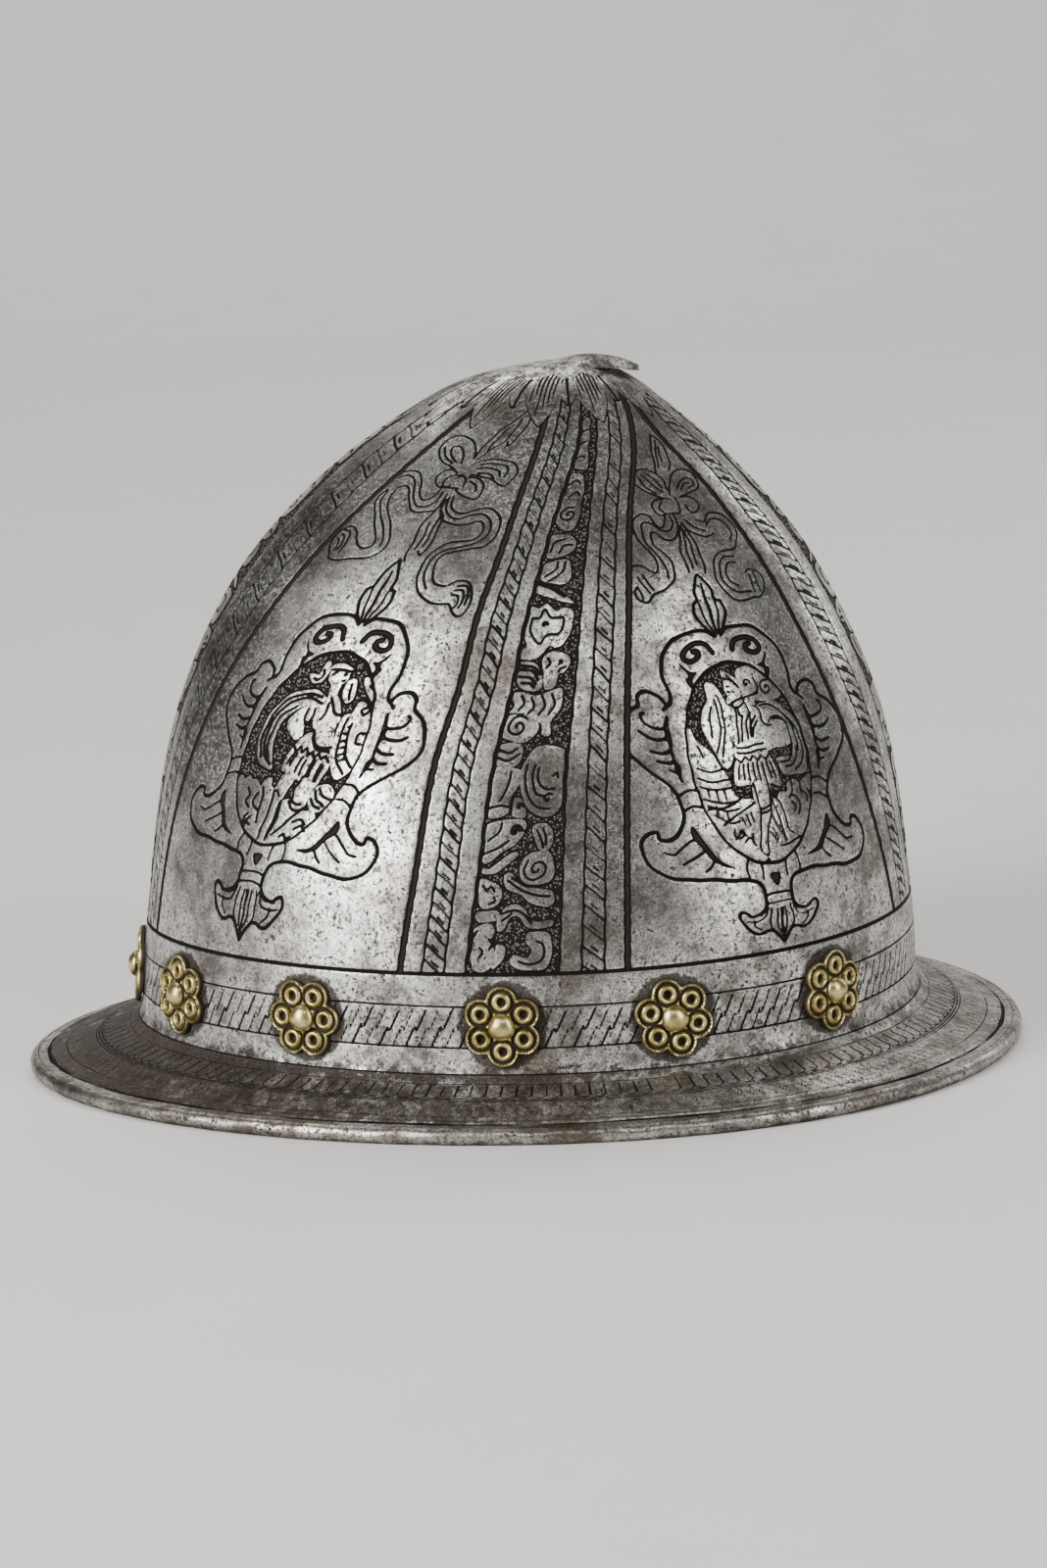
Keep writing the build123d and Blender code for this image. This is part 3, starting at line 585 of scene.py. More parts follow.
PANEL_COLUMNS = 168
points, across, up, half, turn = stave(groove(FRONT_EDGE), groove(SIDE_FRONT), PANEL_COLUMNS)
line, ground = np.full(across.shape, REACH), np.full(across.shape, REACH)
grooves(line, across, up, half)
drawn, high = hand_made(across, up)
drawn = drawn - np.interp(high, *GROOVE_SHIFT.T) / 2
side = drawn - np.interp(high, *LEFT_AXIS.T)
tall = high + FALL * side
slip = np.clip(-side - UNEVEN_FROM, 0, None)
shield_at = np.abs(side) + FRONT_NARROWER * slip, tall - FRONT_HIGHER * slip
framed(line, ground, shield_at, (side, tall), SOLDIER, SOLDIER_LINES, (drawn, high), SOLDIER_PEN)
for stroke in RIBBON:
    cut(line, (drawn, high), stroke, FINE)
line, ground = calyx(line, ground, turn, up)
panel_front = [solid_stave("panel_front_" + hand, points, line, ground, hand == "right")
               for hand in ("left", "right")]

# Panel at the rear left: the same shield, a little lower and with larger curls, with a
# second soldier who leans on a leaf-shaped shield before a round tower.
GUARD = [
    [(-3.9, 108.9), (-1.4, 107.4), (0.6, 105.4), (0.9, 102.4), (-1.2, 100.8), (-3.4, 101.4),
     (-4.3, 103.6), (-3.9, 106)],
    [(-4.6, 99.6), (-2, 101.6), (1.4, 101.4), (4.4, 99.3), (4.6, 94), (3.9, 87.2), (-4.9, 86.9),
     (-4.9, 93)],
    [(-9.9, 105.8), (-7.2, 105), (-5.4, 100.5), (-5.2, 93.4), (-6.4, 86.4), (-8.4, 81.4),
     (-10.5, 81.1), (-12.5, 85.8), (-13.7, 90.5), (-14.6, 94), (-12.8, 98.1), (-10.6, 101.4)],
    [(-5.2, 86.8), (3.9, 87.4), (5.2, 82.6), (7.4, 73.6), (2.8, 74.7), (-2.2, 75),
     (-8.4, 75.8), (-6.6, 82.4)],
    [(-2.8, 75.6), (2.5, 75.6), (2.4, 70), (1.3, 65.2), (-1.6, 58.1), (-2.2, 54), (-4.6, 54),
     (-3.4, 61), (-3.1, 66.9)],
    [(5, 97), (9, 98), (14, 96), (18, 90), (19, 82), (17.6, 76.2), (14, 75.5), (9, 76.4),
     (7.8, 79.6), (8, 81.2), (13, 81.4), (14.2, 84), (14.5, 89), (12, 93), (9.5, 93), (8, 91),
     (7, 88.6), (8.6, 86), (8, 84.4), (4.4, 84.6), (4.6, 92.6)],
    [(8.6, 92), (13.4, 91), (14.2, 86), (13.2, 84.6), (8.2, 84.4), (7, 86.4), (6.6, 88.4)],
    [(-21.5, 93), (-18.5, 93.4), (-17.4, 89), (-14, 86), (-11.6, 80.6), (-10.2, 77), (-9.2, 72.5),
     (-6.4, 70.9), (-3.2, 69.6), (-1, 60), (-5, 52), (-16, 56), (-22, 74)],
    [(2.2, 71), (4.5, 70), (6, 71.5), (8.8, 71.2), (9.4, 73.6), (12, 74.2), (14, 72.8),
     (15.5, 73.8), (19, 74.4), (22, 66), (14, 53), (6, 50), (-2, 52), (-3, 60), (0, 66)],
    [(1, 108), (5.5, 109), (9, 107), (13, 103), (15, 99.8), (12, 98), (6, 98.8), (2, 100)],
]
GUARD_LINES = [
    [(-3.7, 106.2), (-1.6, 105.6), (0.4, 103.4)], [(-2.4, 107.2), (0, 104.4)],
    [(-3.4, 103.9), (-2.7, 103.9)], [(-3.3, 102.4), (-2.7, 102.3)],
    [(-4.4, 98.8), (-2, 97.6), (0.6, 98.6)], [(0.8, 100.8), (1.8, 95), (1, 88.4)],
    [(-8.6, 101), (-8.4, 95), (-9.8, 89), (-12, 85.5)],
    [(-7.2, 101.5), (-6.9, 96), (-8, 90), (-10.4, 84)], [(-10, 99), (-11.6, 95), (-12, 90)],
    [(-5.2, 86.2), (-1.6, 85.6), (1.3, 86.2), (4.1, 86.4)],
    [(-5.4, 84.6), (-1.6, 84), (1.9, 84.6), (4.6, 84.6)],
    [(-6.2, 83), (-4.8, 81.8), (-3.4, 83), (-2, 81.8), (-0.6, 83), (0.8, 81.8), (2.2, 83),
     (3.6, 81.8), (5, 82.6)],
    [(-5.6, 81), (-7, 77)], [(-4.2, 81), (-5, 76.6)], [(-2.8, 81), (-3.2, 76)],
    [(-1.2, 81), (-1.2, 76)], [(0.2, 81), (0.6, 76)], [(1.8, 81), (2.4, 76)],
    [(3.4, 81), (4.4, 75.6)], [(4.6, 81), (6, 75.6)],
    [(-3.4, 99.1), (-0.5, 100), (3.6, 100.3), (6.6, 100.9)],
    [(-3.1, 98.5), (-2.5, 95.6), (-3.4, 91.8), (-4, 87.4)],
    [(-1.9, 97.9), (-1.4, 95.3), (-0.5, 95)],
    [(-0.8, 94.4), (-1.9, 91.5), (-2.8, 87.6)], [(1.9, 95.6), (0.1, 92.6), (-0.8, 87.9)],
    [(3.6, 94.4), (1.3, 91.5), (0.4, 88.5)], [(3.9, 92.9), (2.2, 90.9), (1.3, 89.1)],
    [(3.6, 97.4), (5.4, 96.2), (5.4, 93.2), (6.6, 91.5), (8.4, 90.9)],
    [(6, 97.2), (8.9, 97.2), (12.5, 94.8), (15.6, 91.5), (17.8, 86.8), (18, 82.1), (16.8, 78.7),
     (13.6, 76.8)],
    [(7.8, 92.1), (9.5, 93.2), (11.9, 92.9), (13.9, 90.9), (14.5, 87.4), (14.2, 83.8),
     (12.5, 80.3), (8.4, 80)], [(13.6, 93.6), (15.6, 90.3), (16.6, 86.2), (16.2, 82.1)],
    [(10.1, 78.6), (12.5, 78.4), (14.8, 80), (15.8, 83.2)],
    [(-19.4, 81.6), (-15, 80.2), (-10.8, 80.4)], [(-19.6, 78.8), (-15, 77.2), (-9.8, 77.4)],
    [(-19.6, 76.4), (-14.6, 74.8), (-9.4, 75)], [(-19.4, 72.8), (-14.4, 70.8), (-9.2, 71)],
    [(-18.6, 70.8), (-14, 68.6), (-9, 68.6)], [(-17.2, 67.6), (-13, 65), (-9.4, 65)],
    [(-17.6, 75.8), (-17.6, 73.2)], [(-15, 75), (-15, 71.8)], [(-12.4, 74.8), (-12.4, 71.6)],
    [(-16, 70), (-16, 67.6)], [(-13, 68.2), (-13, 65.8)], [(-16.4, 84.6), (-17.6, 88)],
    [(-12, 60), (-10, 61.6), (-8.4, 60.2)], [(-9.4, 58.6), (-7.6, 59.8), (-6.4, 58.6)],
    [(-2.6, 75.4), (-2.1, 70.3), (-2.5, 65), (-4.3, 58.5), (-4.6, 55.6), (-3.4, 54),
     (-2.2, 54.4), (-1.8, 58.5), (-0.5, 62.1), (1.3, 65.6), (2.2, 69.7), (2.4, 75.4)],
    [(2.4, 71), (4.2, 62.1), (4.8, 57.4)], [(1.3, 65.6), (3.1, 60.9), (4.8, 57.1)],
    [(-2.2, 67.9), (-0.5, 67.6), (1.9, 68.2)], [(-2.5, 66.5), (-0.5, 66.3), (1.6, 66.8)],
    [(-0.2, 60.3), (1.3, 57.4)], [(1, 61.5), (1.9, 58.2)], [(2.5, 56.2), (5.4, 56.2), (10, 57.6)],
    [(3.1, 70.6), (5.4, 68.5), (6, 63.8), (6.6, 60.3), (8.4, 58.6)],
    [(-15.2, 64.4), (-11, 66.6), (-7.5, 67.9), (-3.4, 69.7)],
    [(-18.7, 69.7), (-13.4, 69.4), (-6.9, 71.8)], spiral((-10.4, 61.6), 2.2, 1.1, 2.4),
    [(-6.4, 60.9), (-6.9, 58.5), (-5.8, 57.4)], [(-7, 66.4), (-6.4, 63.2)],
    [(-5.6, 67), (-4.9, 64.4)], [(-8.6, 66), (-8, 63.6)], spiral((3.4, 104), 1.5, 0.95),
    spiral((10, 102), 2.6, 1.3, 1.0), [(5, 100.4), (7, 102.4), (6.4, 105.4)],
    [(9.2, 70), (11.6, 69), (12.6, 66.4), (11.4, 64)], [(9.6, 68), (10.8, 66.4), (10, 64.8)],
    [(14.6, 70.6), (15.8, 69), (15.4, 67.4)], [(16.4, 71), (17.2, 69.4), (16.8, 68)],
    [(11, 74), (10.6, 71), (8.8, 69.2)], [(14.2, 72.6), (13.8, 70)],
]
BOW = [
    [(-2, 165.5), (-5, 167), (-8.5, 169.5), (-10.5, 172.5), (-10.5, 175.5), (-8.5, 177.5),
     (-5.5, 177.8), (-3, 176), (-1.5, 173), (-1.2, 169)],
    [(-9, 175), (-8, 171.4), (-5.5, 168.5)], [(-7.6, 175.6), (-5.5, 172), (-3, 168.5)],
    [(-6, 176), (-4, 173.4), (-2.6, 170)],
    [(-1, 167), (0, 170.5), (2, 174), (5, 176), (8, 175.5), (10, 173), (10.5, 170), (9, 167.7),
     (5.5, 166.8), (2, 166)],
    [(2, 169), (4, 171.5), (6.5, 172.5), (8.5, 171.5), (8.5, 169.5), (6, 168.6)],
    [(3.4, 168.6), (5, 170.6), (6.8, 170.4)],
    [(-2.5, 176), (-1.5, 181), (-0.5, 186), (1.5, 191.5)],
    [(2, 176), (3.5, 179), (4, 184), (3.5, 188.5), (2, 191)], [(-1, 178), (0.5, 184), (2, 189)],
    [(1, 180), (2, 186)],
    [(-4, 166), (-6.5, 166), (-8, 164), (-7.5, 161), (-5.5, 160), (-4.5, 160.5)],
    [(-4.8, 165), (-6, 163), (-5.2, 160.8)], [(0, 166), (0.4, 163), (0, 160.4), (-4, 160.4)],
    [(2, 166), (5, 165.5), (7, 163.5), (7, 161), (5, 159.5), (3.5, 160.5), (2.5, 163)],
    [(-5.5, 160), (-6.5, 157), (-7.5, 156), (-9, 157), (-10.5, 160.5), (-13, 161.2),
     (-15.5, 159.5), (-16.7, 156), (-16, 152), (-14, 147.5), (-13, 144), (-14, 141.5),
     (-15.5, 141.2), (-18, 143.5), (-21, 144)],
    [(-4, 159.5), (-3.8, 156.5), (-5.5, 154.4), (-8, 155), (-10.3, 157.6), (-12.5, 158.2),
     (-14, 156.4), (-14.4, 152), (-12.4, 147), (-10.8, 142), (-11.4, 138.6)],
    [(-2.5, 159.5), (-2.5, 155), (-5, 151.5), (-8, 151.5), (-10.5, 154.6), (-12, 154),
     (-12, 150.5), (-10, 147), (-8.5, 143), (-9.5, 138.5), (-13, 135.5), (-17.5, 134.2),
     (-20, 131.7), (-22.5, 133), (-23, 135.5), (-21.5, 137)],
    [(-20.5, 140), (-18.5, 134.6)], [(-19, 140.6), (-17, 135.6)], [(-21.5, 136.5), (-21, 133)],
    [(-1, 157), (1, 153.5), (5, 151), (9, 151.5)], [(0.4, 158), (2.5, 154.8), (6, 152.8)],
    [(4, 157), (7, 156), (9.5, 158.8), (14, 157.5), (16.5, 155), (17.5, 151), (16, 147.5),
     (14, 145.4), (8, 144.8), (5, 142), (4, 138), (5, 133), (8, 129.5), (12, 128.5), (15.5, 129)],
    [(7, 154.8), (10, 156.6), (13.6, 155), (15.2, 151), (14, 148.2)],
    [(13, 143), (9, 143), (6.5, 140.5), (6, 137), (7, 134), (10, 131.5), (15, 130.8)],
    [(13, 141), (10, 141), (8, 138.5), (8.5, 135.5), (11, 133.5)],
    [(15, 137), (17, 137.8), (20, 136.5), (21, 134), (20.5, 131), (18, 129), (15.5, 129)],
    [(16, 136), (16.5, 130.6)], [(17.8, 136.4), (18.7, 130.6)],
    [(-1.5, 156), (-3.5, 151), (-4.5, 146), (-4, 140)],
    [(-0.5, 156), (1, 150), (1.5, 143), (1, 139)],
    [(-1.2, 155), (-2.4, 148), (-2.5, 141)], [(-0.9, 154), (-0.6, 147), (-1, 142)],
]
REAR_AXIS = np.array([(25, -3.0), (40, -2.0), (81, -0.5), (137, -2.0), (163, -1.0), (240, 0.0)])
REAR_RISE = np.array([(20, 20.0), (28, 31.0), (41, 50.0), (51.5, 60.0), (111, 118.5),
                      (138, 147.0), (149, 165.0), (163.5, 178.0), (191, 213.0), (240, 260.0)])

points, across, up, half, turn = stave(groove(SIDE_REAR), groove(REAR_EDGE), PANEL_COLUMNS)
line, ground = np.full(across.shape, REACH), np.full(across.shape, REACH)
grooves(line, across, up, half)
drawn, high = hand_made(across, up)
side = drawn - np.interp(high, *REAR_AXIS.T)
slip = REAR_HIGHER * np.clip(-side - UNEVEN_FROM, 0, None)
shield_at = np.abs(side), np.interp(high - slip, *REAR_RISE.T)
oval_at = side, np.interp(high, *REAR_RISE.T)
framed(line, ground, shield_at, oval_at, GUARD, GUARD_LINES, (drawn, high), GUARD_PEN)
for stroke in BOW:
    cut(line, (drawn, high), stroke, FINE)
line, ground = calyx(line, ground, turn, up)
panel_rear = [solid_stave("panel_rear_" + hand, points, line, ground, hand == "right")
              for hand in ("left", "right")]

# The four bands. Each has a heavy groove at both edges, two strips of rope pattern, and a
# middle strip of trophies and small beasts that stand bright on stippled ground.
TROPHIES = [
    [(-13.4, 34.9), (-13, 31.3), (-11.2, 29.1), (-10.5, 27), (-7.3, 26.6), (-4.8, 29.1),
     (-5.1, 32.7), (-6.2, 36.3), (-5.9, 38.8), (-8, 40.6), (-11.6, 39.5), (-13.1, 37)],
    [(0.9, 31.3), (-0.1, 29.1), (2.7, 27.4), (8.4, 26.8), (11.3, 28.4), (11.6, 33.4),
     (10.6, 37), (7.7, 38.1), (4.1, 37.7), (4.1, 34.9), (5.8, 33.1), (5, 30.6)],
    [(-5, 27.4), (-2.4, 30), (-1.8, 33.6), (-4.4, 34.6), (-4.6, 31)],
    [(-5, 42), (-3.7, 44.9), (-0.9, 46.3), (2, 44.9), (4.9, 41.3), (10.6, 41.2), (10.4, 39.4),
     (4, 39.4), (1, 42.4), (-1.4, 42.6), (-3, 39), (-5, 38.6)],
    [(-12.3, 53.1), (-9.4, 53.1), (-5.9, 51.3), (-4.8, 48.4), (-6.6, 45.6), (-10.1, 45.2),
     (-11.9, 47.7), (-12.6, 50.6)],
    [(-12, 43.8), (-6, 44.2), (-4.8, 41.6), (-10.6, 41.2)],
    [(-0.6, 57.4), (1, 60), (4, 61.3), (7.6, 60.6), (9.2, 57), (8.8, 52.8), (4.6, 51.6), (0.6, 53)],
    [(-5, 54.1), (-3.7, 50.6), (0.6, 49.1), (4.1, 46.3), (9.9, 45.6), (9.8, 49.6), (5.8, 50.4),
     (0.6, 51.4), (-3, 55)],
    [(1.9, 67.7), (3.4, 69.1), (6.3, 68.9), (8, 65.9), (7.2, 61.9), (4.9, 61.6), (3.1, 64.1)],
    [(-12.3, 67.7), (-11.2, 69.5), (-7.3, 70.2), (-1.6, 70.6), (-0.1, 68.4), (-2.3, 63.8),
     (-6.6, 61.4), (-9.4, 58.4), (-11.6, 58.4), (-12.6, 63.4)],
    [(-12.3, 57), (-9.4, 56.3), (-4.4, 60.6), (-1.6, 60.6), (-4.4, 57.7), (-8, 55.2), (-11.6, 55)],
    [(-4.6, 73), (-4.6, 76.4), (-2.6, 76.4), (-1, 73.4), (-0.8, 71.2), (-4, 71.4)],
    [(-3, 86.3), (-3.7, 82.7), (-2.3, 77.7), (-0.1, 73.4), (3.4, 71.3), (7, 71.6), (9.4, 74.1),
     (9, 78.7), (9.2, 84.9), (9, 89.1), (4, 91.6), (-1, 90.4)],
    [(-11.9, 85.2), (-12.6, 79.1), (-13, 74.9), (-11.9, 71.3), (-6, 72), (-5.8, 76.4),
     (-3.6, 80.2), (-4.3, 84.9)],
    [(-11.9, 91.4), (-12.3, 86.4), (-5.4, 86), (-4.2, 89), (-5.3, 92.3)],
    [(-12.6, 98.6), (-12.6, 95.6), (-9, 93.4), (-4, 92.7), (-1.1, 94.9), (-1, 98.4), (-4.6, 100.4),
     (-9.4, 100.6)],
    [(-11.9, 102), (-11.1, 106.3), (-7.6, 107.4), (-3.3, 105.9), (0.3, 107), (4.6, 107.7),
     (5, 102.7), (2.8, 98), (3, 94.6), (0.6, 94.6), (-0.2, 98), (-5.4, 100.9), (-9.7, 101.2)],
    [(-9.4, 115.6), (-4.6, 115.8), (-2, 111.8), (-1.4, 108.2), (-3.9, 107.2), (-7.6, 108.6),
     (-9, 111.8)],
    [(-2.2, 115.9), (-1.5, 118), (1.4, 118.8), (4.8, 117.6), (5.8, 114.9), (4.6, 112.6),
     (2.8, 112), (2.4, 108.6), (0, 107.8), (-1, 109.6), (-1.6, 112.6)],
    [(-9, 129.1), (-9.4, 124.9), (-7.6, 120.6), (-10.4, 119.1), (-9, 117), (-4, 117.1),
     (-1.1, 120.6), (1, 119.9), (3.4, 121.3), (4.9, 126.3), (4.6, 130.6), (1.7, 132),
     (-0.4, 131.3), (-3.3, 133.4), (-5.4, 132), (-9, 133.4)],
    [(-6.5, 143.1), (-5.4, 146.3), (-2.6, 147.4), (1, 147.4), (2.4, 144.9), (2.4, 141.2),
     (0.3, 139.5), (-3.3, 140.2), (-5.8, 141.4)],
    [(-8.6, 141.4), (-5.4, 139.8), (-0.4, 137.5), (4.6, 133.2), (-0.4, 134.7), (-5.4, 136.4),
     (-8.8, 139)],
    [(-5.4, 155.2), (-0.4, 156.3), (2.4, 154.1), (2.8, 151.3), (0.3, 149.3), (-5.4, 148.8)],
    [(-4.6, 162), (-5, 165.6), (-2.5, 170.6), (-2.5, 172.7), (-3.6, 175.6), (-1.8, 178.8),
     (1.4, 177.7), (2.5, 173.4), (2.5, 169.1), (2.6, 164), (1.6, 158.6), (-2, 158)],
    [(-2.5, 182.7), (-2, 186.3), (-1.4, 190.1), (-0.7, 197.7), (0.7, 201.7), (2.1, 199.6),
     (1.6, 196.3), (2.1, 192), (1.6, 188.4), (2.5, 183.4), (2.1, 180.1), (-1.4, 181)],
]
TROPHY_LINES = [
    [(-10.8, 38.6), (-11.8, 36), (-12, 33)], [(-9.6, 33.4), (-8.6, 32.4), (-9.4, 30.6)],
    [(-7, 36), (-5.8, 34.6), (-6.6, 33)], [(2.4, 29.6), (6.4, 28.6), (9.4, 30), (9, 34), (7, 35.4)],
    [(-4.2, 43.4), (-0.8, 44.6), (2, 43.2), (4.6, 40.6)], [(-3.8, 41.4), (-1.6, 43.4)],
    [(-10.6, 51.6), (-9.4, 50.2), (-8.2, 51.4), (-7, 50)], [(-7.2, 48.4), (-6.8, 47), (-8.4, 46.4)],
    spiral((4.3, 56.2), 3.9, 1.6, 2.4), [(-3.8, 52.8), (0, 50.6), (4.6, 48.6), (9, 48.4)],
    [(-2.6, 53.6), (0.4, 52.2), (5, 50.8)], [(3.2, 67.4), (4.4, 65), (5.4, 62.4)],
    [(5, 68), (5.8, 65.6), (6.2, 63)], spiral((-3.2, 67.2), 2.3, 0.97),
    spiral((-3.2, 67.2), 1.3, 0.6), [(-7.4, 69.4), (-8, 66.6), (-10.8, 64.4)],
    [(-11.8, 60.6), (-8, 62.2), (-4.6, 64.6)], spiral((-2.8, 74.2), 1.2, 0.9),
    [(-1.8, 86), (-2.2, 82), (-0.6, 77.6), (2.4, 73.8), (6, 73.4)],
    [(0.4, 86), (0, 82), (1.6, 78), (4, 76.8)],
    [(6.8, 79.1), (4.1, 78.9), (1.8, 81.4), (1.6, 85.2)],
    spiral((5.4, 76.2), 1.5, 0.9, 1.0), [(6, 82.6), (7, 83.4), (7.6, 82.2)],
    [(-6.6, 84.4), (-6.8, 80), (-8.8, 76)], [(-12, 73.8), (-8.6, 74.6), (-6, 74)],
    [(-11.6, 88.4), (-8, 87.4), (-5, 89.4)], [(-11, 90.4), (-8, 89.6), (-6, 91)],
    spiral((-6.6, 97), 3.4, 1.5, 0.8), [(-10, 105.4), (-8.8, 103.4), (-9.8, 102)],
    [(-7, 106.2), (-5.8, 103.8), (-7, 102)], [(-4, 105.2), (-2.8, 102.8), (-4, 101)],
    [(-1, 106.2), (0.2, 103), (-1, 100.6)], [(2, 106.4), (3, 103.4), (1.8, 100.4)],
    [(-8.6, 113.8), (-5, 113.4), (-2.8, 110.4)], [(-8.4, 111.8), (-5.2, 111.4), (-3.2, 109.2)],
    [(-7.4, 110), (-5, 109.6), (-3.6, 108.2)], [(-8.8, 115), (-4.8, 114.6), (-2.4, 112)],
    [(-0.8, 116.8), (0.2, 115.4), (-0.8, 114)], [(2.8, 116.2), (3.6, 115.8), (2.8, 115.2)],
    [(4.8, 114.2), (3.4, 113.8), (3, 113)],
    [(-7.2, 129.1), (-6.9, 124.9), (-4, 121.4), (-1.9, 124.1), (1.4, 124.1), (2.2, 128.8),
     (-1.6, 129.3), (-3.6, 131.7), (-5, 129.1), (-7.2, 129.1)],
    spiral((-3.3, 127.2), 1.0, 0.97), [(-5, 142.4), (-2, 144.6), (-1.6, 147)],
    [(-3.6, 140.8), (0, 143.6), (0.6, 146.8)], [(-7.4, 140.4), (-3, 138.4), (1.6, 135.6)],
    [(-4.6, 150.4), (-3.4, 153.6), (-0.6, 154.8)], [(-2, 150), (-0.4, 152.6), (2, 152.4)],
    spiral((-0.6, 163.2), 2.8, 1.5, 1.2), [(-1.4, 169.6), (0.4, 171.4), (1.6, 170)],
    [(-2, 174.6), (0, 176), (1.4, 174.4)], [(-1.2, 184.4), (0.4, 185.6), (1.4, 184.6)],
    [(-0.6, 190), (1, 191.4)], [(-0.2, 195.6), (1.2, 196.4)],
]
# Across a band, as shares of its half width, at heights up the steel: the middle strip's
# edge, and the inner and the outer line of the rope strip.
STRIP_ROWS = np.array([(27, .41, .60, .80), (90, .385, .60, .79), (125, .365, .57, .80),
                       (160, .31, .545, .78), (190, .20, .48, .72), (240, .16, .42, .68)])
BAND_COLUMNS = 136
ROPE_WIDE, ROPE_LEAN, ROPE_PEN = 5.4, -5.3, 0.5
SQUEEZE_LIMITS = (0.75, 1.9)
# What centres the figures on the middle strip: on the side bands, and on the other two.
SIDE_MIDDLE = 1.4
FIGURE_MIDDLES = np.array([(27, -1.0), (60, -2.0), (100, -3.4), (130, -2.2), (165, -1.0),
                           (200, 0.0)])
TROPHY_PEN, TROPHY_EDGE, TROPHY_FULLER, TROPHY_MARGIN = 0.72, 0.48, 0.3, 0.8
ROPE_PITCHES = (4.25, 5.7)
ROPE_PARTS = ((0, 0, 1), (0.3, 0.34, 0.72))


def band(name, left, right, shift=True, flip=False, mirrored=False):
    """Engraves one band from strips at shares of its width, and closes its stave. The
    figures are as wide, against the side band's, as the band itself, within limits."""
    points, across, up, half, turn = stave(left, right, BAND_COLUMNS)
    squeeze = np.clip(half / side_half, *SQUEEZE_LIMITS)
    line, ground = np.full(across.shape, REACH), np.full(across.shape, REACH)
    grooves(line, across, up, half)
    drawn, high = hand_made(across, up)
    share = np.abs(drawn) / half
    strip, inner, outer = (np.interp(high, STRIP_ROWS[:, 0], STRIP_ROWS[:, k]) for k in (1, 2, 3))
    for edge in (strip, inner, outer):
        line = np.minimum(line, np.abs(share - edge) * half - FINE / 2)
    across_rope = (share - inner) / (outer - inner)
    signed = np.where(drawn < 0, 1 - across_rope, across_rope)
    pitch = np.where(drawn < 0, *ROPE_PITCHES)
    line = np.minimum(line, hatches(high, signed, ROPE_WIDE, pitch, ROPE_LEAN, ROPE_PARTS,
                                    ROPE_PEN))
    figure_side = drawn * (-1 if mirrored else 1) / squeeze
    if shift:
        figure_side = figure_side - np.interp(high, *GROOVE_SHIFT.T) / 2 + SIDE_MIDDLE
    else:
        figure_side = figure_side + np.interp(high, *FIGURE_MIDDLES.T)
    solid = np.full(line.shape, REACH)
    at = (figure_side, high)
    for figure in TROPHIES:
        shape(solid, at, figure)
    within = (share - strip) * half
    solid = np.maximum(solid - TROPHY_FULLER, within + TROPHY_MARGIN)
    inked = np.full(line.shape, REACH)
    for stroke in TROPHY_LINES:
        cut(inked, at, stroke, TROPHY_PEN)
    inked = np.minimum(inked, np.abs(solid) - TROPHY_EDGE / 2)
    line = np.minimum(line, np.maximum(inked, within))
    ground = np.minimum(ground, np.maximum(within, -solid))
    line, ground = calyx(line, ground, turn, up)
    return solid_stave(name, points, line, ground, flip)


side_half = stave(groove(SIDE_FRONT), groove(SIDE_REAR), BAND_COLUMNS)[3]
bands = [
    band("band_left", groove(SIDE_FRONT), groove(SIDE_REAR)),
    band("band_right", groove(SIDE_FRONT), groove(SIDE_REAR), flip=True),
    band("band_brow", groove(FRONT_EDGE, -1, 2 * pi), groove(FRONT_EDGE), shift=False),
    band("band_nape", groove(REAR_EDGE), groove(REAR_EDGE, -1), shift=False, mirrored=True),
]

# The crown: the small cap where the sheet closes, of the same steel as the staves, whose
# upper edges it meets. It carries the stalk and has no engraving.
CROWN_COLUMNS, CROWN_ROWS = 96, 9
CROWN_HOLE = 0.1
# Crown and stalk are browned all over: partly rust, partly painted shade that keeps their tops from
# showing white.
CROWN_RUST_AND_SHADE = 0.6


def ring_faces(columns, rows, round_loop=True):
    """Faces of a grid that closes on itself along its columns, and along its rows too."""
    index = np.arange(columns * rows).reshape(columns, rows)
    index = np.concatenate([index, index[:1]])
    if round_loop:
        index = np.concatenate([index, index[:, :1]], 1)
    return np.stack([index[:-1, :-1], index[1:, :-1], index[1:, 1:], index[:-1, 1:]],
                    -1).reshape(-1, 4)


def end_faces(columns, rows):
    """The two faces that close the first and the last row of a grid of rings."""
    index = np.arange(columns * rows).reshape(columns, rows)
    return [index[::-1, 0][None], index[:, -1][None]]


turn = np.linspace(2 * pi, 0, CROWN_COLUMNS, endpoint=False)[:, None]
outer = skin(turn, np.linspace(STAVE_HIGH, CROWN_AT, CROWN_ROWS))
middle = outer[:, -1].mean(0)
outer[:, -1] = middle + (outer[:, -1] - middle) * CROWN_HOLE
under = outer[:, [0, 3, 7, 8]][:, ::-1] - (0, 0, WALL)
loop = np.concatenate([under, outer], 1)
count = loop.shape[:2]
crown = put("crown", loop, [ring_faces(*count, False), *end_faces(*count)],
            {"line": np.full(count, REACH), "ground": np.full(count, REACH),
             "rust_and_shade": np.full(count, CROWN_RUST_AND_SHADE)})

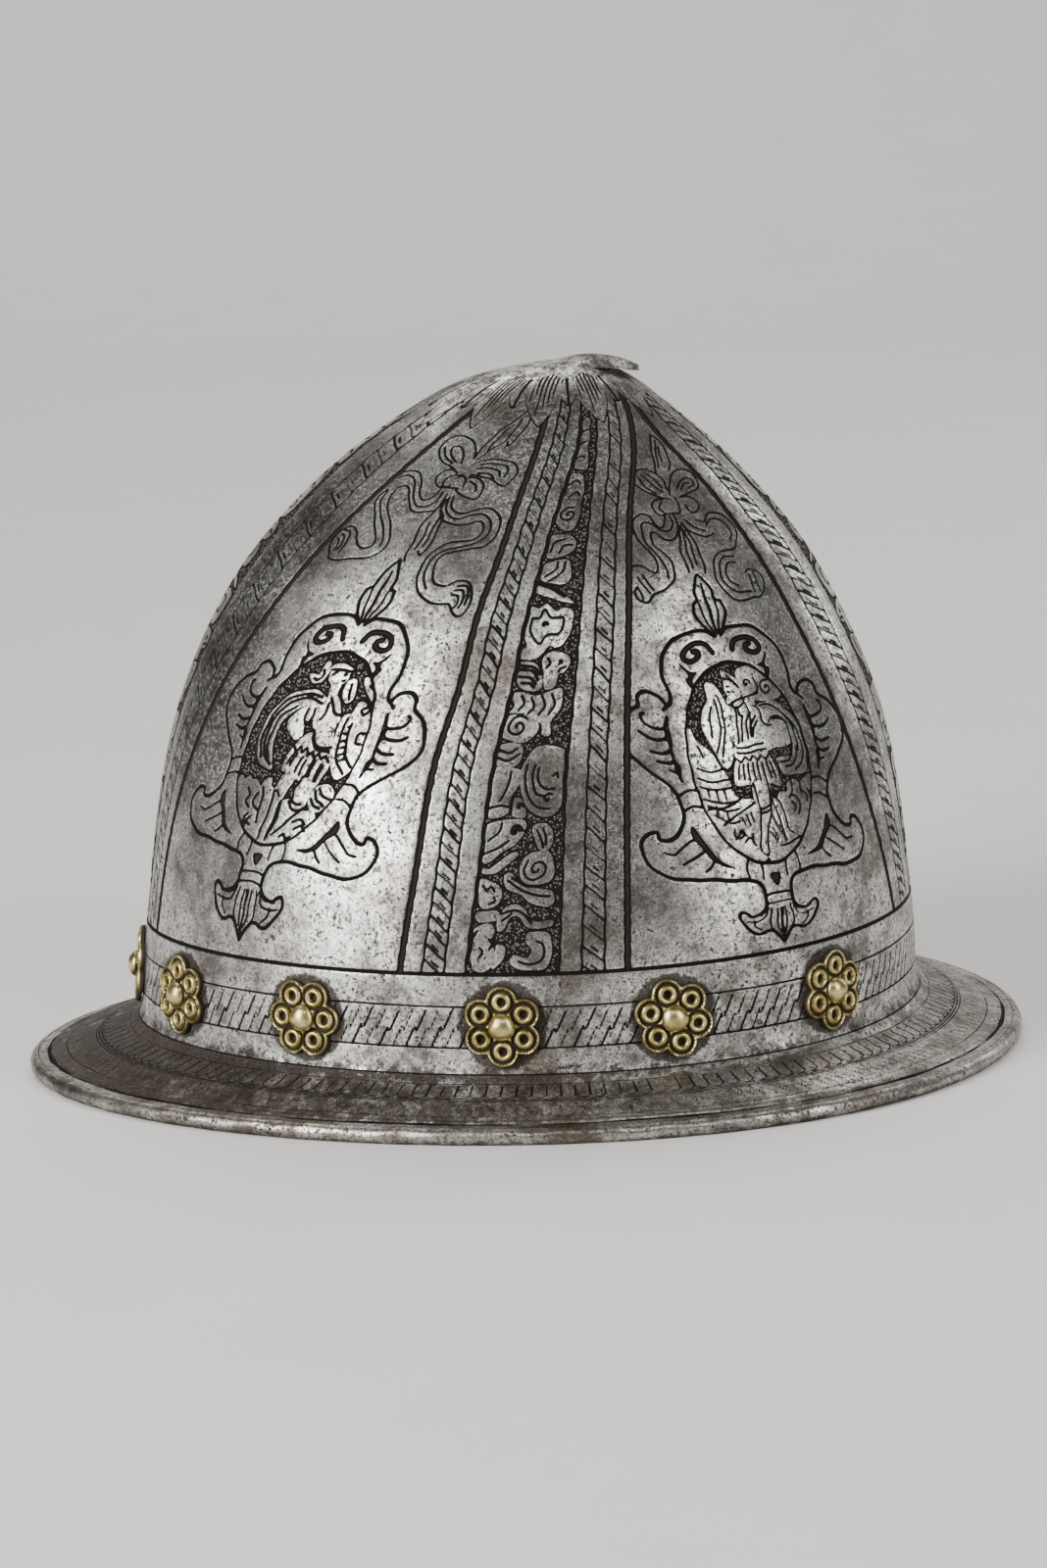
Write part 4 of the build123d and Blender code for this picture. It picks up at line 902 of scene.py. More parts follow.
# The base of the skull: the same steel, plain but for a strip of rope pattern between two
# fine lines, over which the rosettes are riveted. It runs into the brim below without a seam.
BASE_LOW = -4.0
BASE_COLUMNS, BASE_ROWS = 960, 60
BASE_LINES = (4.0, 16.2)
BASE_PITCH, BASE_LEAN, BASE_WANDER = 4.15, 5.6, 0.15
BASE_PEN, BASE_LINE, FOOT_LINE = 0.54, 0.48, 0.4
BASE_PARTS = ((0, 0, 0.5), (0.3, 0.4, 0.92))
turn = np.linspace(2 * pi, 0, BASE_COLUMNS, endpoint=False)[:, None]
up = np.linspace(BASE_LOW, STAVE_LOW, BASE_ROWS)[None, :] + 0 * turn
points = skin(turn, up)
steps = np.linalg.norm(np.diff(points, axis=0, append=points[:1]), axis=-1)
around = np.cumsum(steps, 0) * (round(steps.sum(0).mean() / BASE_PITCH) * BASE_PITCH
                                / steps.sum(0))
share = (up - BASE_LINES[0]) / (BASE_LINES[1] - BASE_LINES[0])
line = hatches(around, share + 0.02 * np.sin(around / 9), BASE_LINES[1] - BASE_LINES[0],
               BASE_PITCH, BASE_LEAN, BASE_PARTS, BASE_PEN)
for height in BASE_LINES:
    sway = BASE_WANDER * np.sin(around / 17)
    line = np.minimum(line, np.abs(up - height - sway) - BASE_LINE / 2)
line = np.minimum(line, STAVE_LOW - up - RING_LINE / 2)
line = np.minimum(line, up - BASE_LOW - FOOT_LINE / 2)


def ring_facing(points):
    """Unit normals of a grid that closes on itself round the helmet."""
    return facing(np.concatenate([points[-1:], points, points[:1]]))[1:-1]


def ring(name, points, line, rust_and_shade, depth):
    """Closes a carved ring of sheet with a plain inner face a wall's thickness behind."""
    normal = ring_facing(points)
    carved = points - normal * trench(line, depth)[..., None]
    keep = list(range(0, points.shape[1], COARSE))
    if keep[-1] != points.shape[1] - 1:
        keep.append(points.shape[1] - 1)
    inner = (points - normal * WALL)[:, keep[::-1]]
    loop = np.concatenate([carved, inner], 1)
    spare = np.full(inner.shape[:2], REACH)
    fields = {"line": np.concatenate([line, spare], 1), "ground": np.full(loop.shape[:2], REACH),
              "rust_and_shade": np.concatenate([rust_and_shade, 0 * spare], 1)}
    return put(name, loop, [ring_faces(*loop.shape[:2])], fields)


# Painted shade darkens the base along the crease where it turns into the brim: much at its foot,
# and a little above that.
foot_shade = 0.5 * (1 - ease(up, -3.5, 3.0)) + 0.12 * (1 - ease(up, 3.0, 15.0))
base = ring("skull_base", points, line, np.maximum(halo(points), foot_shade), CUT_DEPTH)

# The brim: drawn out of the same sheet in a concave sweep, and worked out as two rings that
# meet in a cut line. Its upper face has a row of tongues, and outside it a row of slanting
# strokes between fine lines.
BRIM_SPLIT = -17.4
TONGUE_ROW, STROKE_ROW = (-16.0, -8.6), (-26.6, -19.2)
TONGUE_PITCH, STROKE_PITCH = 4.3, 3.4
BRIM_LINES = (-7.8, -16.6, -18.4, -27.6)
BRIM_GROOVE, BRIM_BEAD = -32.9, -31.2
TONGUE_BOWL, TONGUE_FOOT, TONGUE_PEN = 0.47, 0.5, 0.28
STROKE_LEAN, STROKE_PARTS, STROKE_PEN = -3.6, ((0, 0, 1), (0.3, 0.3, 0.7)), 0.22
BRIM_LINE, JOIN_LINE, GROOVE_HALF = 0.24, 0.3, 0.42
BEAD_HIGH, BEAD_WIDE, DENT_DEEP, DENT_FADE = 0.45, 0.8, 0.1, 2.0
BRIM_DEPTH = 0.18
INNER_COLUMNS, INNER_ROWS, OUTER_COLUMNS, OUTER_ROWS = 1780, 32, 1580, 42
# The brim is brown at the brow and bright at the nape: the mean, the swing, and its turn.
STAIN_MEAN, STAIN_SWING, STAIN_TURN = 0.42, 0.5, radians(165)


def brim_ring(name, low_edge, high_edge, columns, rows):
    """A ring of the brim between two lengths out from the foot, with its cut lines: the
    tongues are arches of a circle on straight sides, repeated round, and sines of the turn
    make all rows wander, vary the groove's width, and dent the sheet."""
    turn = np.linspace(2 * pi, 0, columns, endpoint=False)[:, None]
    up = np.linspace(low_edge, high_edge, rows)[None, :] + 0 * turn
    points = skin(turn, up)
    steps = np.linalg.norm(np.diff(points, axis=0, append=points[:1]), axis=-1)[:, rows // 2]
    wander = 0.25 * np.sin(7 * turn) + 0.2 * np.sin(23 * turn)

    def spaced(pitch):
        """Lengths round the ring, stretched so that whole pitches fill it."""
        whole = round(steps.sum() / pitch) * pitch
        return (np.cumsum(steps) * whole / steps.sum())[:, None] + 0 * up

    place = ((spaced(TONGUE_PITCH) + wander) / TONGUE_PITCH) % 1 - 0.5
    bottom, top = TONGUE_ROW
    bowl = TONGUE_BOWL * TONGUE_PITCH
    arch = np.abs(np.hypot(place * TONGUE_PITCH, np.minimum(up - bottom - bowl, 0)) - bowl)
    line = np.maximum(arch - TONGUE_PEN / 2,
                      np.maximum(up - top, bottom - TONGUE_FOOT - up))
    share = (up - STROKE_ROW[0]) / (STROKE_ROW[1] - STROKE_ROW[0])
    strokes = hatches(spaced(STROKE_PITCH) + wander, share, STROKE_ROW[1] - STROKE_ROW[0],
                      STROKE_PITCH, STROKE_LEAN, STROKE_PARTS, STROKE_PEN)
    line = np.minimum(line, strokes)
    for height in BRIM_LINES:
        line = np.minimum(line, np.abs(up - height - 0.3 * wander) - BRIM_LINE / 2)
    ends = np.minimum(np.abs(up - low_edge), np.abs(up - high_edge))
    line = np.minimum(line, ends - JOIN_LINE / 2)
    groove_wide = GROOVE_HALF + 0.2 * np.sin(11 * turn) + 0.12 * np.sin(47 * turn)
    line = np.minimum(line, np.abs(up - BRIM_GROOVE) - groove_wide)
    bead = BEAD_HIGH * np.exp(-((up - BRIM_BEAD) / BEAD_WIDE) ** 2)
    dents = DENT_DEEP * np.sin(19 * turn + up / 4) * np.sin(up / 2.3 + 5 * turn)
    fade = (ease(up, low_edge, low_edge + DENT_FADE)
            * (1 - ease(up, high_edge - DENT_FADE, high_edge)))
    points = points + ring_facing(points) * ((bead + dents) * fade)[..., None]
    stain_and_join_shade = STAIN_MEAN + STAIN_SWING * np.cos(turn - STAIN_TURN) + 0.08 * np.sin(5 * turn)
    # Brown stain that changes with the turn, and at the join with the base a dark band of painted
    # shade, as at the base's foot.
    stain_and_join_shade = stain_and_join_shade * ease(up, -35, -32) + 0.35 * np.exp(-((up - BASE_LOW) / 2.5) ** 2)
    return ring(name, points, line, np.clip(stain_and_join_shade, 0, 1), BRIM_DEPTH)


brims = [brim_ring("brim_inner", BRIM_SPLIT, BASE_LOW, INNER_COLUMNS, INNER_ROWS),
         brim_ring("brim_outer", -FOOT_AT, BRIM_SPLIT, OUTER_COLUMNS, OUTER_ROWS)]

# The brim's edge: the same sheet of steel turned down and under, round an iron wire that
# stiffens it. Knocks have dented it, and its underside has rusted.
EDGE_COLUMNS = 640
EDGE_WIRE = 1.32
EDGE_TURNS = np.radians(np.linspace(-196, 90, 30))
EDGE_DENT, EDGE_PRESS, EDGE_UPPER = 0.07, 0.14, 1.3
EDGE_RUST, EDGE_RUST_BELOW = 0.05, 0.7


def edge_loop(angles, radius):
    """Outlines of the turned edge: inset by the circle's cosine, raised by its sine."""
    inset = ROLL_RADIUS - radius * np.cos(angles)
    height = np.maximum(ROLL_RADIUS - ROLL_FLAT + radius * np.sin(angles), 0)
    return np.column_stack([BRIM_LENGTH / 2 - inset, BRIM_WIDTH / 2 - inset, 0 * inset, height])


sections = np.concatenate([edge_loop(EDGE_TURNS, ROLL_RADIUS),
                           edge_loop(EDGE_TURNS[::-3], EDGE_WIRE)])
turn = np.linspace(2 * pi, 0, EDGE_COLUMNS, endpoint=False)[:, None]
loop = outline(sections[None], turn)
count = loop.shape[:2]
pressed = np.concatenate([EDGE_TURNS, EDGE_TURNS[::-3]])
dents = EDGE_DENT * (np.sin(61 * turn + 3 * pressed) + np.sin(37 * turn - 2 * pressed))
dents = (dents - EDGE_PRESS) * (np.abs(pressed) < EDGE_UPPER)
# A dent moves the outline inwards: a share of about half the brim's length or width.
loop = loop * (1 + dents[..., None] * (1 / 150, 1 / 120, 0))
low_side = 1 - ease(pressed, -1.0, 0.3)
turned_edge = put("turned_edge", loop, [ring_faces(*count)],
                  {"line": np.full(count, REACH), "ground": np.full(count, REACH),
                   "rust_and_shade": EDGE_RUST + EDGE_RUST_BELOW * low_side + 0 * turn})

# The stalk: the tip of the sheet, drawn out, flattened and bent back over the crown. Its
# section is a flattened circle: the cosine and the sine of the turn, each to a power, with
# a dip by the square of the distance from its middle.
STALK_ROOT, STALK_LENGTH, STALK_WIDTH = CROWN_LEAN / 2, 29.0, 15.0
STALK_THICKNESS, STALK_RISE, ARCH_SHARE = 1.4, 2.1, 0.17
STALK_ROWS, STALK_TURNS = 60, 48
STALK_SHARES = np.array([(0.00, 0.70, -1.00), (0.22, 0.95, -0.05), (0.45, 1.00, 0.35),
                         (0.68, 0.90, 0.05), (0.88, 0.62, -0.75), (1.00, 0.22, -1.55)])
along = np.linspace(0, 1, STALK_ROWS)
width, rise = spline(STALK_SHARES[:, 0], STALK_SHARES[:, 1:], along).T
around = np.linspace(0, 2 * pi, STALK_TURNS, endpoint=False)[:, None]
half = np.abs(width) * STALK_WIDTH / 2
side = half * np.sign(np.cos(around)) * np.abs(np.cos(around)) ** 0.8
thick = STALK_THICKNESS / 2 * np.sign(np.sin(around)) * np.abs(np.sin(around)) ** 0.7
height = (CROWN_HEIGHT + STALK_RISE * rise - STALK_THICKNESS / 2 + thick
          - (side / np.maximum(half, 0.1)) ** 2 * 2 * half * ARCH_SHARE)
x = STALK_ROOT + STALK_LENGTH * along + 0 * side
loop = np.stack([x, side, height], -1)
count = loop.shape[:2]
# The stalk is browned as the crown is: partly rust, partly painted shade.
stalk = put("stalk", loop, [ring_faces(*count, False), *end_faces(*count)],
            {"line": np.full(count, REACH), "ground": np.full(count, REACH),
             "rust_and_shade": np.full(count, CROWN_RUST_AND_SHADE)})


# Steel that has been polished for centuries: bright, with soft clouds of grey where oil and
# old rust were rubbed back, fine black pits, and near-black dirt left in the engraving.
def tone(code):
    """A hex colour of a screen as linear light."""
    parts = [int(code[k:k + 2], 16) / 255 for k in (1, 3, 5)]
    return (*[p / 12.92 if p <= 0.04045 else ((p + 0.055) / 1.055) ** 2.4 for p in parts], 1.0)


def join(socket, value):
    """Joins an input to another node's output, or sets it to a value."""
    if isinstance(value, bpy.types.NodeSocket):
        socket.id_data.links.new(value, socket)
    elif value is not None:
        socket.default_value = value


def add(tree, kind, *values, out=None, **settings):
    """Adds one node with its settings, joins or sets its live inputs in order, leaving the
    ones that are None, and gives back its first live output or the one that is named."""
    made = tree.nodes.new("ShaderNode" + kind)
    for name, value in settings.items():
        setattr(made, name, value)
    for socket, value in zip([s for s in made.inputs if s.enabled], values):
        join(socket, value)
    return made.outputs[out] if out else next(s for s in made.outputs if s.enabled)


def surface(name):
    """A new material, what adds a node to it, its shader, and the place on the piece."""
    material = bpy.data.materials.new(name)
    material.use_nodes = True
    node = partial(add, material.node_tree)
    shader = material.node_tree.nodes["Principled BSDF"]
    return material, node, shader, node("TexCoord", out="Object")


def finish(shader, values):
    """Joins or sets the shader's inputs, by name."""
    for name, value in values.items():
        join(shader.inputs[name], value)


def per(size):
    """Pattern scale that gives a size in millimetres, on coordinates in metres."""
    return 1 / (size * MM)


# Settings that many nodes share.
SMOOTH, COLOURS = {"interpolation_type": "SMOOTHSTEP"}, {"data_type": "RGBA"}
PLUS, MINUS = {"operation": "ADD"}, {"operation": "SUBTRACT"}
TIMES, MOST = {"operation": "MULTIPLY"}, {"operation": "MAXIMUM"}
# Sizes in millimetres: clouds of grey, brown tints, patches, ragged rust, the metal's grain
# and pits, grit, and the round tool that punched the stipple.
CLOUD, TINT, PATCH, FRINGE, GRAIN, GRIT, PUNCH = 24.0, 31.0, 6.5, 5.0, 1.3, 0.7, 0.8
BROWN_TINT, GREY_GRAIN, DARK_GRIT, PIT = "#70604F", "#5A554F", "#3A3531", "#16120F"
DEEP_RUST_AND_SHADE, PALE_RUST_AND_SHADE = "#0D0805", "#54402F"
FLOOR_DIRT, FLOOR_STEEL = "#17120F", "#968E83"
CUT_DIRT, CUT_STEEL = "#0D0A08", "#2E2621"


def steel(name, bright, cloud, worn=0.3):
    """Polished steel: noise mixes its two greys, then tints, grains and grits it. Rust, and the
    painted shade that shares its field, is where that field plus a ragged noise passes a limit,
    and pits where fine noise does. Dirt fills each line and the stippled ground, where their
    distances are below nought."""
    material, node, shader, place = surface(name)
    clouds = node("TexNoise", place, per(CLOUD), 9, 0.66)
    patches = node("TexNoise", place, per(PATCH), 9, 0.74)
    grain = node("TexNoise", place, per(GRAIN), 6, 0.75)
    specks = node("TexNoise", place, per(GRAIN), 4, 0.75)
    grit = node("TexNoise", place, per(GRIT), 3, 0.8)
    tint = node("TexNoise", place, per(TINT), 9, 0.7)
    pits = node("Math", node("MapRange", specks, 0.54, 0.59, **SMOOTH),
                node("MapRange", patches, 0.40, 0.58, 0.4, 1.0, **SMOOTH), **TIMES)

    # This field holds rust, and painted shade too: on the crown and stalk, at the top of the skull,
    # and along the base's foot and its join with the brim.
    rust_and_shade = node("Attribute", out="Fac", attribute_name="rust_and_shade")
    fringe = node("Math", node("TexNoise", place, per(FRINGE), 10, 0.8), 0.5, **MINUS)
    spread = node("Math", rust_and_shade, node("Math", fringe, 2.6, **TIMES), **PLUS)
    spread = node("MapRange", spread, 0.35, 0.8, **SMOOTH)
    spread = node("Math", spread, node("MapRange", rust_and_shade, 0.0, 0.25, **SMOOTH), **TIMES)
    glints = node("MapRange", grit, 0.56, 0.62, 1.0, 0.1, **SMOOTH)
    spread = node("Math", spread, glints, **TIMES)

    wobble = node("Math", node("Math", grain, 0.5, **MINUS), 0.4, **TIMES)
    line = node("Attribute", out="Fac", attribute_name="line")
    wide = node("MapRange", line, -0.8, -0.45, 1.0, 0.0, **SMOOTH)
    line = node("MapRange", node("Math", line, wobble, **PLUS), 0.0, 0.18, 1.0, 0.0, **SMOOTH)
    ground = node("Attribute", out="Fac", attribute_name="ground")
    ground = node("Math", ground, wobble, **PLUS)
    ground = node("MapRange", ground, -0.06, 0.12, 1.0, 0.0, **SMOOTH)
    dots = node("TexVoronoi", place, per(PUNCH))
    dots = node("MapRange", dots, 0.24, 0.44, 1.0, 0.0, **SMOOTH)

    shades = node("Math", node("Math", clouds, 0.5, **TIMES),
                  node("Math", patches, 0.5, **TIMES), **PLUS)
    colour = node("Mix", node("MapRange", shades, 0.40, 0.58, **SMOOTH), tone(cloud),
                  tone(bright), **COLOURS)
    # The rust colours, which also paint that shade.
    rust_and_shade_colour = node("Mix", node("MapRange", grain, 0.48, 0.58, **SMOOTH), tone(DEEP_RUST_AND_SHADE),
                 tone(PALE_RUST_AND_SHADE), **COLOURS)
    for mask, share, shade in (
            (node("MapRange", tint, 0.48, 0.66, **SMOOTH), 0.62, tone(BROWN_TINT)),
            (node("MapRange", grain, 0.5, 0.62, **SMOOTH), 0.4, tone(GREY_GRAIN)),
            (node("MapRange", grit, 0.50, 0.58, **SMOOTH), 0.62, tone(DARK_GRIT)),
            (spread, 0.94, rust_and_shade_colour), (pits, 0.95, tone(PIT))):
        colour = node("Mix", node("Math", mask, share, **TIMES), colour, shade, **COLOURS)
    floor = node("Mix", node("Math", dots, 0.65, **TIMES), tone(FLOOR_DIRT), tone(FLOOR_STEEL),
                 **COLOURS)
    colour = node("Mix", ground, colour, floor, **COLOURS)
    scraped = node("MapRange", grain, 0.4, 0.6, 0.5, 1.0, **SMOOTH)
    cut_shade = node("Mix", node("Math", wide, scraped, **TIMES), tone(CUT_DIRT),
                     tone(CUT_STEEL), **COLOURS)
    colour = node("Mix", line, colour, cut_shade, **COLOURS)

    bare = node("Math", 1.0, node("Math", dots, 0.7, **TIMES), **MINUS)
    dirt = node("Math", node("Math", spread, 0.65, **TIMES), node("Math", pits, 0.8, **TIMES),
                **MOST)
    dirt = node("Math", dirt, node("Math", ground, bare, **TIMES), **MOST)
    dirt = node("Math", dirt, line, **MOST)
    uneven = node("Math", node("Math", shades, 0.5, **MINUS), -0.6, **TIMES)
    height = node("Math", node("TexNoise", place, per(CLOUD), 2, 0.55), 0.7, **TIMES)
    for part, share in ((pits, -0.08), (grain, 0.07),
                        (node("Math", dots, ground, **TIMES), 0.15),
                        (node("Math", spread, grain, **TIMES), 0.2)):
        height = node("Math", height, node("Math", part, share, **TIMES), **PLUS)
    finish(shader, {
        "Base Color": colour,
        "Metallic": node("MapRange", dirt, 0.0, 1.0, 1.0, 0.0, **SMOOTH),
        "Specular IOR Level": node("MapRange", dirt, 0.3, 1.0, 0.5, 0.12, **SMOOTH),
        "Roughness": node("Mix", dirt, node("Math", worn, uneven, **PLUS), 0.8),
        "Normal": node("Bump", 0.9, MM, None, height)})
    return material


def coat(piece, material):
    """Gives a piece one material in place of any that it has."""
    piece.data.materials.clear()
    piece.data.materials.append(material)


def dress(piece, material, slot, *nodes):
    """Gives a finished piece its material and its body, and hides the nodes it stands for. The slot
    is not used.
    """
    coat(piece, material)
    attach(piece, "root")
    if nodes:
        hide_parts(*nodes)


polished_steel = steel("polished_etched_steel", "#E6E3DD", "#74716C")
stained_steel = steel("rust_stained_steel", "#CBC6BD", "#6A645D", 0.36)
for piece in [*panel_front, *panel_rear, *bands, crown, base, stalk]:
    dress(piece, polished_steel, "steel", "skull")
for piece in (*brims, turned_edge):
    dress(piece, stained_steel, "steel", "skull")

# The wire in the brim's edge: drawn iron, black with forge scale. It is hidden by the
# turned sheet, so the CAD's own piece serves.
SCALE_SIZE = 3.0
iron, node, shader, place = surface("drawn_iron_wire")
flakes = node("TexNoise", place, per(SCALE_SIZE), 4, 0.55)
finish(shader, {
    "Base Color": node("Mix", flakes, tone("#2B2725"), tone("#5B534C"), **COLOURS),
    "Metallic": 0.9,
    "Roughness": node("MapRange", flakes, 0.3, 0.7, 0.45, 0.7, **SMOOTH)})
coat(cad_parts["brim_wire"], iron)

# The rosettes: sheet brass struck in a die, six ringed petals with milled rims, bent to
# the skull, and held by the rivet through the middle.
PETALS, PETAL_RADIUS, PETAL_CIRCLE = 6, 4.8, 7.3
SEAT_GAP, PLATE_THICKNESS, RELIEF_HEIGHT = 0.2, 0.9, 0.6
CLOCK_ANGLES = (-8.0, 14.0, 0.0, 30.0, 6.0)
HOLE = 1.8
FLOWER_TURNS, FLOWER_ROWS, BACK_ROWS = 168, 40, 5
# Half-round mouldings on a petal: their crest's radius, their half width and their height.
RIM, LIP = (4.22, 0.58, 1.15), (2.05, 0.88, 1.4)
NOTCHES, NOTCH_SHARE, NOTCH_SPAN, NOTCH_REACH = 24, 0.6, 2.2, (3.95, 4.3)
DIMPLE_DEEP, DIMPLE = 0.55, (0.9, 1.25)
COLLAR_HIGH, COLLAR_RADIUS, COLLAR_WIDE = 0.5, 3.4, 0.9
SUNK, EDGE_DROP, EDGE_FROM = 0.3, 0.5, 0.93
GRIME_FROM, GRIME_TO = 1.0, 1.9


def seat(angle):
    """A rivet's point on the skull, and its level, upward and outward directions."""
    turn, step, row = radians(angle), radians(1), len(SWEEP_SHARES) + RIVET_ROW
    point = outline(ROWS[row], turn)
    level = outline(ROWS[row], turn + step) - outline(ROWS[row], turn - step)
    climb = outline(ROWS[row + 1], turn) - outline(ROWS[row - 1], turn)
    out = np.cross(climb, level)
    out = out / np.linalg.norm(out)
    out = out * np.sign(out @ (cos(turn), -sin(turn), 0))
    flat = np.cross((0, 0, 1), out)
    flat = flat / np.linalg.norm(flat)
    return point, flat, np.cross(out, flat), out


def bend_radius(angle):
    """Radius of the skull's plan at a rivet, from three points that the flower spans."""
    station = ROWS[len(SWEEP_SHARES) + RIVET_ROW]
    spread = PETAL_CIRCLE / station[0]
    a, b, c = (outline(station, radians(angle) + k * spread) for k in (-1, 0, 1))
    sag, chord = np.linalg.norm((a + c) / 2 - b), np.linalg.norm(c - a) / 2
    return (chord ** 2 + sag ** 2) / (2 * sag)


def flower(name, angle, clock, flip=False):
    """One rosette over turns and radii. Its outline is six circles about the petals'
    middles. Its height is the most of two half-round mouldings, by distance from the
    nearest middle, and a bell-shaped collar, less the dimples, and bent to the skull."""
    turns = np.linspace(0, 2 * pi, FLOWER_TURNS, endpoint=False)[:, None]
    nearest = (turns - radians(clock) - pi / 2 + pi / PETALS) % (2 * pi / PETALS) - pi / PETALS
    limit = PETAL_CIRCLE * np.cos(nearest) + np.sqrt(
        PETAL_RADIUS ** 2 - (PETAL_CIRCLE * np.sin(nearest)) ** 2)
    share = np.linspace(1, 0, FLOWER_ROWS)
    radius = HOLE + (limit - HOLE) * share
    away = np.hypot(radius * np.sin(nearest), radius * np.cos(nearest) - PETAL_CIRCLE)
    about = np.arctan2(radius * np.sin(nearest), radius * np.cos(nearest) - PETAL_CIRCLE)

    def moulding(crest, wide, tall):
        """A half circle's height, by the distance from the nearest petal's middle."""
        return tall * np.sqrt(np.clip(1 - ((away - crest) / wide) ** 2, 0, 1))

    notches = ease(np.cos(about * NOTCHES), -0.3, 0.5) * (1 - ease(away, *NOTCH_REACH))
    rim = moulding(*RIM) * (1 - NOTCH_SHARE * notches * (np.abs(about) < NOTCH_SPAN))
    collar = COLLAR_HIGH * np.exp(-((radius - COLLAR_RADIUS) / COLLAR_WIDE) ** 2)
    dimple = -DIMPLE_DEEP * (1 - ease(away, *DIMPLE))
    top = (SEAT_GAP + PLATE_THICKNESS - SUNK
           + np.maximum(np.maximum(rim, moulding(*LIP)), collar) + dimple)
    top = top - EDGE_DROP * ease(share, EDGE_FROM, 1.0)
    under = np.full((len(turns), BACK_ROWS), SEAT_GAP)
    height = np.concatenate([top, under], 1)
    radius = np.concatenate([radius, HOLE + (limit - HOLE) * np.linspace(0, 1, BACK_ROWS)], 1)
    x, y = radius * np.cos(turns), radius * np.sin(turns)
    bend = bend_radius(angle)
    lift = np.sqrt((bend + height) ** 2 - x ** 2) - bend
    point, flat, upward, out = seat(angle)
    points = point + x[..., None] * flat + y[..., None] * upward + lift[..., None] * out
    # Brown patina on the low parts of the face, and painted shade on the back, against the skull.
    hollow_and_shade = np.concatenate([1 - ease(top, GRIME_FROM, GRIME_TO), 0 * under + 1], 1)
    return put(name, points, [ring_faces(*points.shape[:2])], {"hollow_and_shade": hollow_and_shade}, flip)


# Sizes in millimetres: cloudy tarnish, and scratches.
BRASS_CLOUD, BRASS_SCRATCH = 5.0, 0.7


def brass(name, bright, deep):
    """Old brass: yellow and worn bright on its high parts, brown and dull in its hollows, and the
    same brown painted as shade at the foot of each rivet head and on the backs of the plates.
    """
    material, node, shader, place = surface(name)
    clouds = node("TexNoise", place, per(BRASS_CLOUD), 5, 0.6)
    scratches = node("TexNoise", place, per(BRASS_SCRATCH), 4, 0.7)
    hollow_and_shade = node("Attribute", out="Fac", attribute_name="hollow_and_shade")
    uneven = node("Math", node("Math", clouds, 0.5, **MINUS), 0.6, **TIMES)
    grime_and_shade = node("MapRange", node("Math", hollow_and_shade, uneven, **PLUS), 0.2, 0.8, **SMOOTH)
    grime_and_shade = node("Math", grime_and_shade, 0.97, **TIMES)
    colour = node("Mix", node("MapRange", clouds, 0.35, 0.65, **SMOOTH), tone(deep),
                  tone(bright), **COLOURS)
    rough = node("Math", 0.24, node("Math", scratches, 0.2, **TIMES), **PLUS)
    height = node("Math", node("Math", scratches, 0.05, **TIMES),
                  node("Math", clouds, 0.2, **TIMES), **PLUS)
    finish(shader, {
        "Base Color": node("Mix", grime_and_shade, colour, tone("#1A130A"), **COLOURS),
        "Metallic": node("MapRange", grime_and_shade, 0.0, 1.0, 1.0, 0.5, **SMOOTH),
        "Roughness": node("Mix", grime_and_shade, rough, 0.7),
        "Normal": node("Bump", 0.6, MM, None, height)})
    return material


struck_brass = brass("struck_sheet_brass", "#DACB90", "#A08F55")
dress(flower("rosette_brow_flower", 180.0, 0.0), struck_brass, "brass", "rosette_brow")
for number, (angle, clock) in enumerate(reversed(list(zip(RIVET_ANGLES, CLOCK_ANGLES))), 1):
    for hand in ("left", "right"):
        piece = flower(f"rosette_{hand}_{number}_flower", angle, clock, hand == "right")
        dress(piece, struck_brass, "brass", f"rosette_{hand}_{number}")

# The rivets: round brass shanks, a domed head over each rosette, and a tail hammered over
# a brass rove behind the leather.
SHANK_RADIUS, HEAD_RADIUS, HEAD_HEIGHT, TAIL_RADIUS, TAIL_HEIGHT = 1.6, 4.0, 2.9, 2.7, 1.1
BAND_GAP, BAND_THICKNESS, ROVE_GAP, ROVE_THICKNESS = 0.25, 2.0, 0.4, 0.9
CLOSING_RADIUS, HEAD_DENT, RIVET_ARC, RIVET_TURNS = 0.15, 0.03, 12, 48
head_low = SEAT_GAP + PLATE_THICKNESS + RELIEF_HEIGHT + SEAT_GAP
tail_high = -(WALL + BAND_GAP + BAND_THICKNESS + ROVE_GAP + ROVE_THICKNESS + SEAT_GAP)
arc = np.linspace(0, pi / 2, RIVET_ARC)
profile = np.concatenate([
    np.column_stack([TAIL_RADIUS * np.sin(arc[1:]), tail_high - TAIL_HEIGHT * np.cos(arc[1:])]),
    [(SHANK_RADIUS, tail_high), (SHANK_RADIUS, head_low)],
    np.column_stack([HEAD_RADIUS * np.cos(arc[:-1]), head_low + HEAD_HEIGHT * np.sin(arc[:-1])]),
    [(CLOSING_RADIUS, head_low + HEAD_HEIGHT)]])
turns = np.linspace(0, 2 * pi, RIVET_TURNS, endpoint=False)[:, None]
every, faces = [], []
for number, angle in enumerate(ALL_ANGLES):
    point, flat, upward, out = seat(angle)
    dent = 1 + HEAD_DENT * np.sin(3 * turns + number) * (profile[:, 1] > head_low - 0.1)
    ring_points = (point + (profile[:, 0] * dent * np.cos(turns))[..., None] * flat
                   + (profile[:, 0] * dent * np.sin(turns))[..., None] * upward
                   + (profile[:, 1] + 0 * turns)[..., None] * out)
    shift = number * len(turns) * len(profile)
    faces.append(ring_faces(len(turns), len(profile), False) + shift)
    every.append(ring_points.reshape(-1, 3))
caps = [face + number * len(turns) * len(profile) for number in range(len(ALL_ANGLES))
        for face in end_faces(len(turns), len(profile))]
count = len(turns) * len(profile) * len(ALL_ANGLES)
